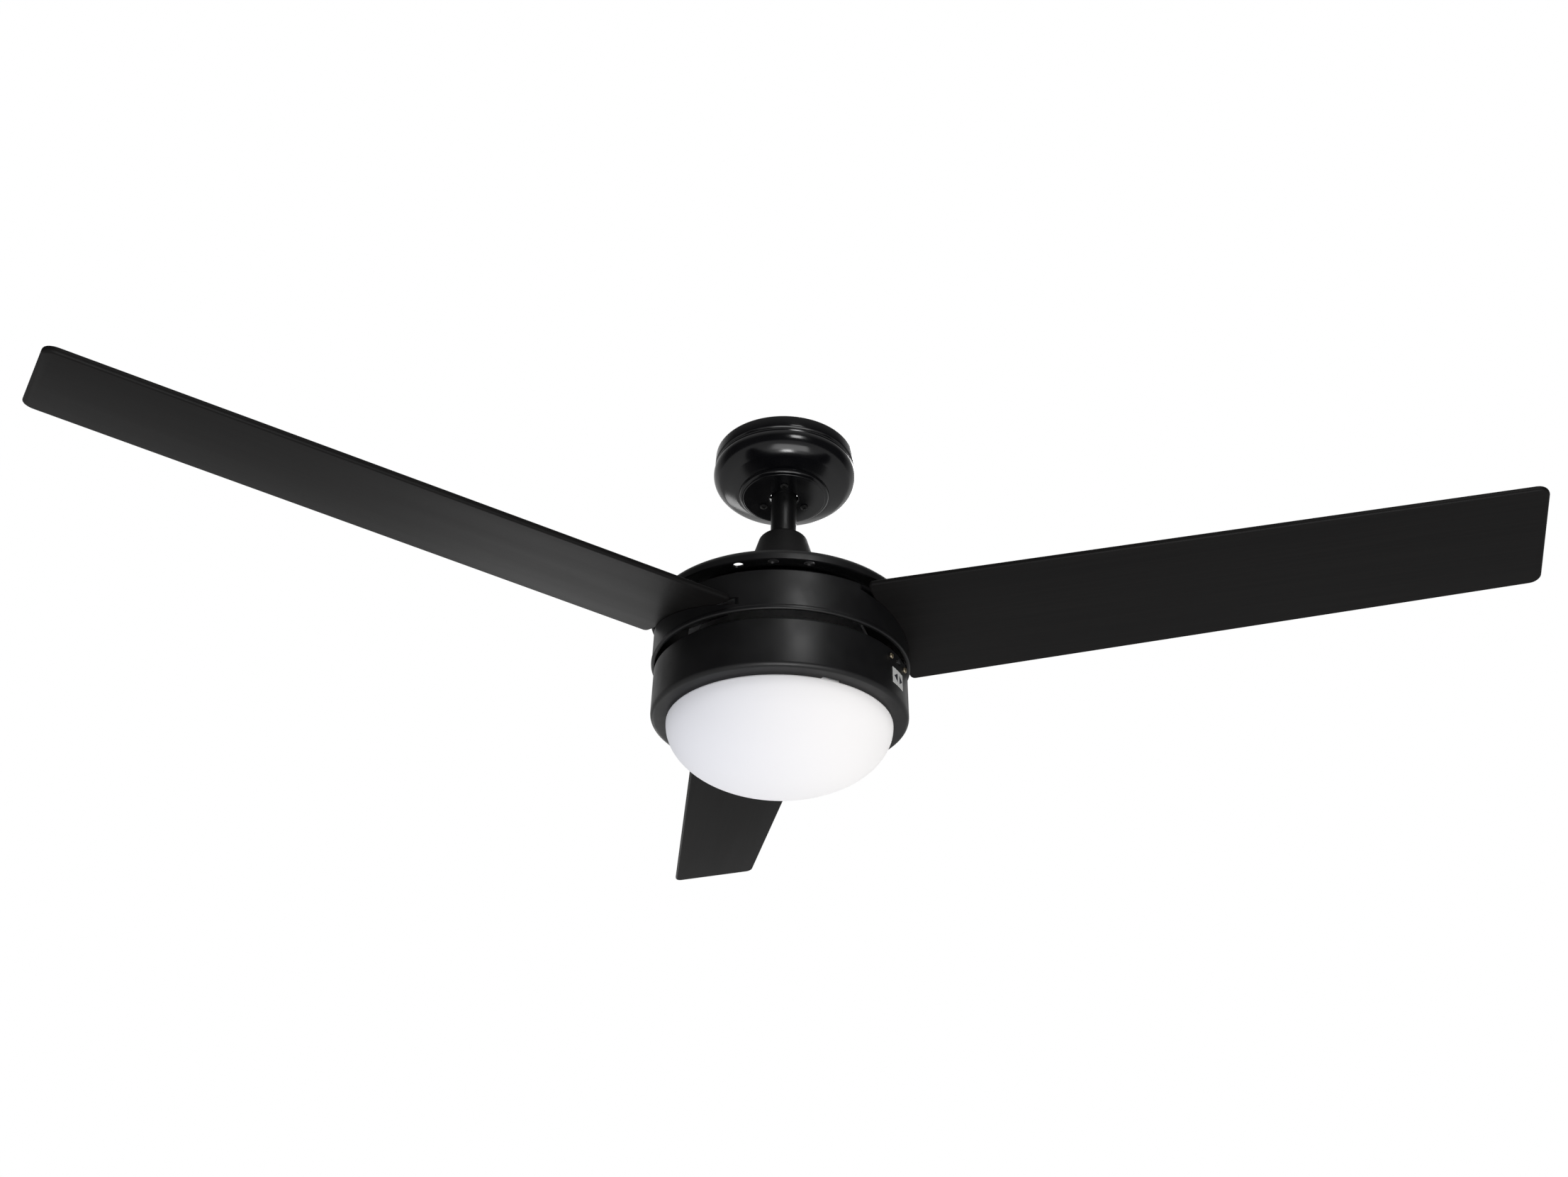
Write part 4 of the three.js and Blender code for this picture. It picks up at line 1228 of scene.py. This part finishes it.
@dataclass
class LightKit:
    """The housing under the motor with the switch, the lamps and the glass, in millimetres."""

    radius: float = 122.5
    top: float = -268.3
    bottom: float = -316.0
    mouth: float = 104.0
    corner: float = 4.2
    wall: float = 1.5
    screw_radius: float = 112.0
    screw_angles: tuple[float, ...] = (-124.0, -4.0, 116.0)
    lug_angles: tuple[float, ...] = (30.0, 150.0, 270.0)
    dome_turn: float = 25.0
    dome_radius: float = 107.5
    dome_top: float = -316.6
    dome_bottom: float = -378.6
    dome_wall: float = 3.0
    switch_angle: float = -27.4
    switch_height: float = -277.0
    switch_screws: float = 16.0
    label_across: tuple[float, float] = (-13.7, 7.9)
    label_below: tuple[float, float] = (-25.5, -10.0)

    def build(self) -> None:
        """Builds the housing, what it holds, the lamps and the dome."""
        self._plate()
        self._pan()
        self._switch()
        self._label()
        self._lamps()
        self._dome()

    def _screw_holes(self) -> list[Surface]:
        """Cutters for the three screws that hold the pan."""
        return [around(self.screw_radius, a, bar(2.5, -280, -260)) for a in self.screw_angles]

    def _plate(self) -> None:
        """A disc with a soft edge, its nut, and the screws whose heads lie on it."""
        section = rounded([(8.3, -268, 0.2), (119, -268, 0.8), (119, -266, 0.8), (8.3, -266, 0.2)])
        plate = Piece("kit_plate", lathe(section), MATT_BLACK, "light_kit_plate")
        plate.carve(self._screw_holes())
        refined("shaft_nut", STEEL, 0.5)
        screw = Screw(2.0, 8.0, 4.0, 2.4)
        for i, angle in enumerate(self.screw_angles):
            place = tilt(angle, "Z") @ shift(self.screw_radius, 0, -265.7)
            screw.fit(f"pan_screw_{i + 1}", place, ZINC)

    def _pan(self) -> None:
        """A drum with a flange at its top and a flat rim round the mouth for the dome."""
        section = rounded([
            (100, self.top, 0.3), (self.radius, self.top, 2.0),
            (self.radius, self.bottom, self.corner),
            (self.mouth, self.bottom, 0.8), (self.mouth, self.bottom + 2, 0.6),
            (self.radius - self.wall, self.bottom + 2, 2.6),
            (self.radius - self.wall, self.top - 2, 0.6),
            (100, self.top - 2, 0.3),
        ])
        pan = Piece("pan_drum", lathe(section), SATIN_BLACK, "light_kit_pan")
        notch = block((-4, 3.8), (-9, 9), (self.bottom - 2, self.bottom + 4))
        notches = [around(self.mouth, a + self.dome_turn, notch) for a in self.lug_angles]
        side = self._side()
        slot = plank(stadium(9.6, 4.2), 20, 0.0, 1).moved(side @ shift(x=120) @ tilt(90, "Y"))
        holes = [bar(1.8, 100, 130).moved(side @ shift(y=self.switch_screws * s) @ tilt(90, "Y"))
                 for s in (-1, 1)]
        pan.carve(self._screw_holes() + notches).carve([slot] + holes)

    def _side(self) -> Matrix:
        """The switch's own frame: X outwards and Y along the slide."""
        return tilt(self.switch_angle, "Z") @ shift(z=self.switch_height)

    def _switch(self) -> None:
        """The switch's body, its slider with a ribbed thumb, and its two screws."""
        refined("reverse_switch_body", NYLON, 0.35)
        refined("reverse_switch_slider", NYLON, 0.35)
        refined("capacitor", NYLON, 1.2)
        screw = Screw(1.4, 9.5, 2.9, 1.9)
        for i, s in enumerate((-1, 1)):
            seat = self._side() @ shift(self.radius - 0.4, self.switch_screws * s)
            place = seat @ tilt(90, "Y") @ tilt(45, "Z")
            screw.fit(f"switch_screw_{i + 1}", place, BRASS)

    def _label(self) -> None:
        """A printed patch wrapped on the wall: a point y along it is at the angle y / radius."""
        radius, columns, rows = self.radius + 0.75, 24, 2
        across, below = self.label_across, self.label_below
        y, z = np.meshgrid(np.linspace(*across, columns), np.linspace(*below, rows))
        angle = y / self.radius + math.radians(self.switch_angle)
        x, outward = radius * np.cos(angle), radius * np.sin(angle)
        face = np.stack([x, outward, z + self.switch_height], -1)
        inner = 1 - 0.4 / radius
        back = face * (inner, inner, 1)
        index = np.arange(2 * columns * rows).reshape(2, rows, columns)
        front, behind = index[0], index[1]

        def patch(grid: Array) -> list[list[int]]:
            """The quads of one grid."""
            corners = grid[:-1, :-1], grid[:-1, 1:], grid[1:, 1:], grid[1:, :-1]
            return np.stack(corners, -1).reshape(-1, 4).tolist()

        def border(grid: Array) -> Array:
            """The vertices round one grid."""
            return np.concatenate([grid[0], grid[1:, -1], grid[-1, -2::-1], grid[-2:0:-1, 0]])

        loop, under = border(front), border(behind)
        rim = np.stack([np.roll(loop, -1), loop, under, np.roll(under, -1)], -1).tolist()
        faces = patch(front) + [face[::-1] for face in patch(behind)] + rim
        flat = np.stack([y - sum(across) / 2, z - sum(below) / 2], -1).reshape(-1, 2)
        vertices = np.concatenate([face.reshape(-1, 3), back.reshape(-1, 3)])
        patched = Surface(vertices, faces, np.tile(flat, (2, 1)))
        Piece("arrow_label_patch", patched, PAPER, "switch_label")

    def _lamps(self) -> None:
        """The reflector and the two lamps over the glass."""
        section = rounded([
            (10, -292, 0.3), (118.5, -292, 2.2), (118.5, -310.7, 0.4), (117, -310.7, 0.4),
            (117, -294, 1.0), (10, -294, 0.3),
        ])
        Piece("reflector_dish", lathe(section), ENAMEL, "reflector_plate")
        for i in (1, 2):
            refined(f"lamp_socket_{i}", PORCELAIN, 0.8)
            refined(f"bulb_base_{i}", BRASS, 0.3)
            refined(f"bulb_globe_{i}", BULB_GLASS, 0.3)

    def _dome(self) -> None:
        """Blown glass: a neck, a round shoulder, and half an ellipse that is closed at its pole."""
        shoulder, neck = -319.6, 101.0
        depth = shoulder - self.dome_bottom
        radius, wall = self.dome_radius, self.dome_wall
        outer = ellipse((0, shoulder), (radius, depth), 0, -90, 56)
        inner = ellipse((0, shoulder), (radius - wall, depth - wall), -90, 0, 48)
        outer[-1, 0] = inner[0, 0] = 0
        top = rounded([
            (neck - wall, -321, 1.0), (neck - wall, -305, 0.8), (neck, -305, 0.8),
            (neck, self.dome_top, 0.6), (radius, self.dome_top, 2.6), (radius, shoulder, 0),
        ], closed=False)
        section = np.concatenate([top[1:-1], outer, inner[:-3]])
        Piece("dome_glass", lathe(section), OPAL_GLASS, "glass_dome")
        refined("dome_collar", ZINC, 0.3)


# ---- the studio --------------------------------------------------------------------------------


@dataclass(frozen=True)
class Softbox:
    """A rectangular lamp aimed at a point.

    Attributes:
        name: Its name.
        place: Where it is, in metres.
        aim: What it faces, in metres.
        size: Its width and height, in metres.
        watts: Its power.
    """

    name: str
    place: tuple[float, float, float]
    aim: tuple[float, float, float]
    size: tuple[float, float]
    watts: float

    def build(self) -> None:
        """Adds the lamp, which only its light shows."""
        lamp = bpy.data.lights.new(self.name, "AREA")
        lamp.shape, (lamp.size, lamp.size_y) = "RECTANGLE", self.size
        lamp.energy = self.watts
        holder = bpy.data.objects.new(self.name, lamp)
        bpy.context.scene.collection.objects.link(holder)
        away = np.subtract(self.place, self.aim)
        z = away / np.linalg.norm(away)
        x = np.cross((0, 0, 1), z)
        x /= np.linalg.norm(x)
        turn = Matrix(np.stack([x, np.cross(z, x), z], 1).tolist())
        holder.matrix_world = Matrix.Translation(self.place) @ turn.to_4x4()
        holder.visible_camera = False


@dataclass
class Studio:
    """The camera, the pale floor and the soft light, in metres."""

    lens: float = 27.67
    sensor: float = 36.0
    eye: tuple[float, float, float] = (0.0018, -1.0431, -0.7996)
    look_up: float = 0.547
    roll: float = 0.019
    floor_height: float = -2.4
    floor_size: float = 60.0
    floor_glow: float = 0.95
    floor_bounce: float = 0.12
    floor_seen: float = 0.76
    room_front: float = 0.03
    room_back: float = 0.66
    room_top: float = 0.3
    back_from: tuple[float, float] = (0.1, 0.95)
    top_from: tuple[float, float] = (0.6, 0.95)
    softboxes: tuple[Softbox, ...] = (
        Softbox("key_softbox", (0.62, -2.05, 0.92), (0.0, 0.0, -0.25), (0.55, 0.7), 9.0),
        Softbox("low_softbox", (0.10, -1.05, -1.95), (0.0, 0.0, -0.15), (0.4, 0.4), 7.0),
        Softbox("front_softbox", (0.35, -2.0, -1.9), (0.0, 0.0, -0.30), (2.4, 1.4), 20.0),
        Softbox("back_softbox", (-0.76, 2.27, -0.69), (-0.16, -0.12, -0.24), (0.7, 0.5), 2.6),
        Softbox("top_softbox", (0.7, 2.6, 2.0), (0.0, 0.0, -0.2), (1.2, 1.2), 22.0),
    )

    def build(self) -> None:
        """Builds the camera, the world, the floor and the lamps."""
        bpy.context.scene.view_settings.view_transform = "Standard"
        self._camera()
        self._world()
        self._floor()
        for softbox in self.softboxes:
            softbox.build()

    def _camera(self) -> None:
        """A camera that looks up at the fan with a slight roll."""
        view = bpy.data.cameras.new("camera")
        view.lens, view.sensor_width = self.lens, self.sensor
        view.clip_start, view.clip_end = 0.01, 100
        holder = bpy.data.objects.new("camera", view)
        bpy.context.scene.collection.objects.link(holder)
        pitch = Matrix.Rotation(math.pi / 2 + self.look_up, 4, "X")
        roll = Matrix.Rotation(self.roll, 4, "Z")
        holder.matrix_world = Matrix.Translation(self.eye) @ pitch @ roll
        bpy.context.scene.camera = holder

    def _world(self) -> None:
        """White to the eye, and a room that is dim in front and bright behind to the surfaces."""
        world = bpy.data.worlds.new("studio")
        bpy.context.scene.world = world
        world.use_nodes = True
        graph = Graph(world.node_tree)
        _, y, z = graph.axes(graph.term("ShaderNodeTexCoord", output="Generated"))
        back = y.ramp(*self.back_from) * (self.room_back - self.room_front)
        light = back + z.ramp(*self.top_from) * self.room_top + self.room_front
        eye = graph.term("ShaderNodeLightPath", output="Is Camera Ray")
        strength = eye * (1 - light) + light
        sky = {"Color": (1, 1, 1, 1), "Strength": strength}
        shader = graph.node("ShaderNodeBackground", None, sky)
        output = graph.node("ShaderNodeOutputWorld")
        graph.tree.links.new(shader.outputs[0], output.inputs[0])

    def _floor(self) -> None:
        """A pale floor far below, with a faint glow of its own."""
        half, height = self.floor_size / 2, self.floor_height
        mesh = bpy.data.meshes.new("floor")
        corners = [(x * half, y * half, height) for x, y in ((-1, -1), (1, -1), (1, 1), (-1, 1))]
        mesh.from_pydata(corners, [], [(0, 1, 2, 3)])
        mesh.materials.append(self._floor_material())
        floor = bpy.data.objects.new("floor", mesh)
        bpy.context.scene.collection.objects.link(floor)

    def _floor_material(self) -> bpy.types.Material:
        """Pale and dull, with a glow that the eye sees far more of than the fan does.

        Returns:
            The floor's material.
        """
        made = bpy.data.materials.new("pale_floor")
        made.use_nodes = True
        graph = Graph(made.node_tree)
        place = graph.term("ShaderNodeTexCoord", output="Object")
        mottle = graph.noise(place, 3.0, 4.0).ramp(0.3, 0.7)
        dull = graph.node("ShaderNodeBsdfDiffuse", None, {
            "Color": graph.blend(mottle, (0.80, 0.80, 0.80, 1), (0.83, 0.83, 0.83, 1)),
        })
        light = {"Color": (1, 1, 1, 1), "Strength": self.floor_glow}
        glow = graph.node("ShaderNodeEmission", None, light)
        eye = graph.term("ShaderNodeLightPath", output="Is Camera Ray")
        mixed = graph.node("ShaderNodeMixShader", None, {
            0: eye * self.floor_seen + self.floor_bounce,
            1: Term(graph, dull.outputs[0]), 2: Term(graph, glow.outputs[0]),
        })
        output = graph.node("ShaderNodeOutputMaterial")
        graph.tree.links.new(mixed.outputs[0], output.inputs[0])
        return made


def main() -> None:
    """Builds the studio and the fan, from the ceiling down."""
    logging.basicConfig(level=logging.INFO, format="%(name)s: %(message)s")
    Studio().build()
    for part in (CeilingEnd(), Suspension(), Motor(), Rotor(), LightKit()):
        part.build()
        log.info("built %s", type(part).__name__)


if __name__ == "__main__":
    main()
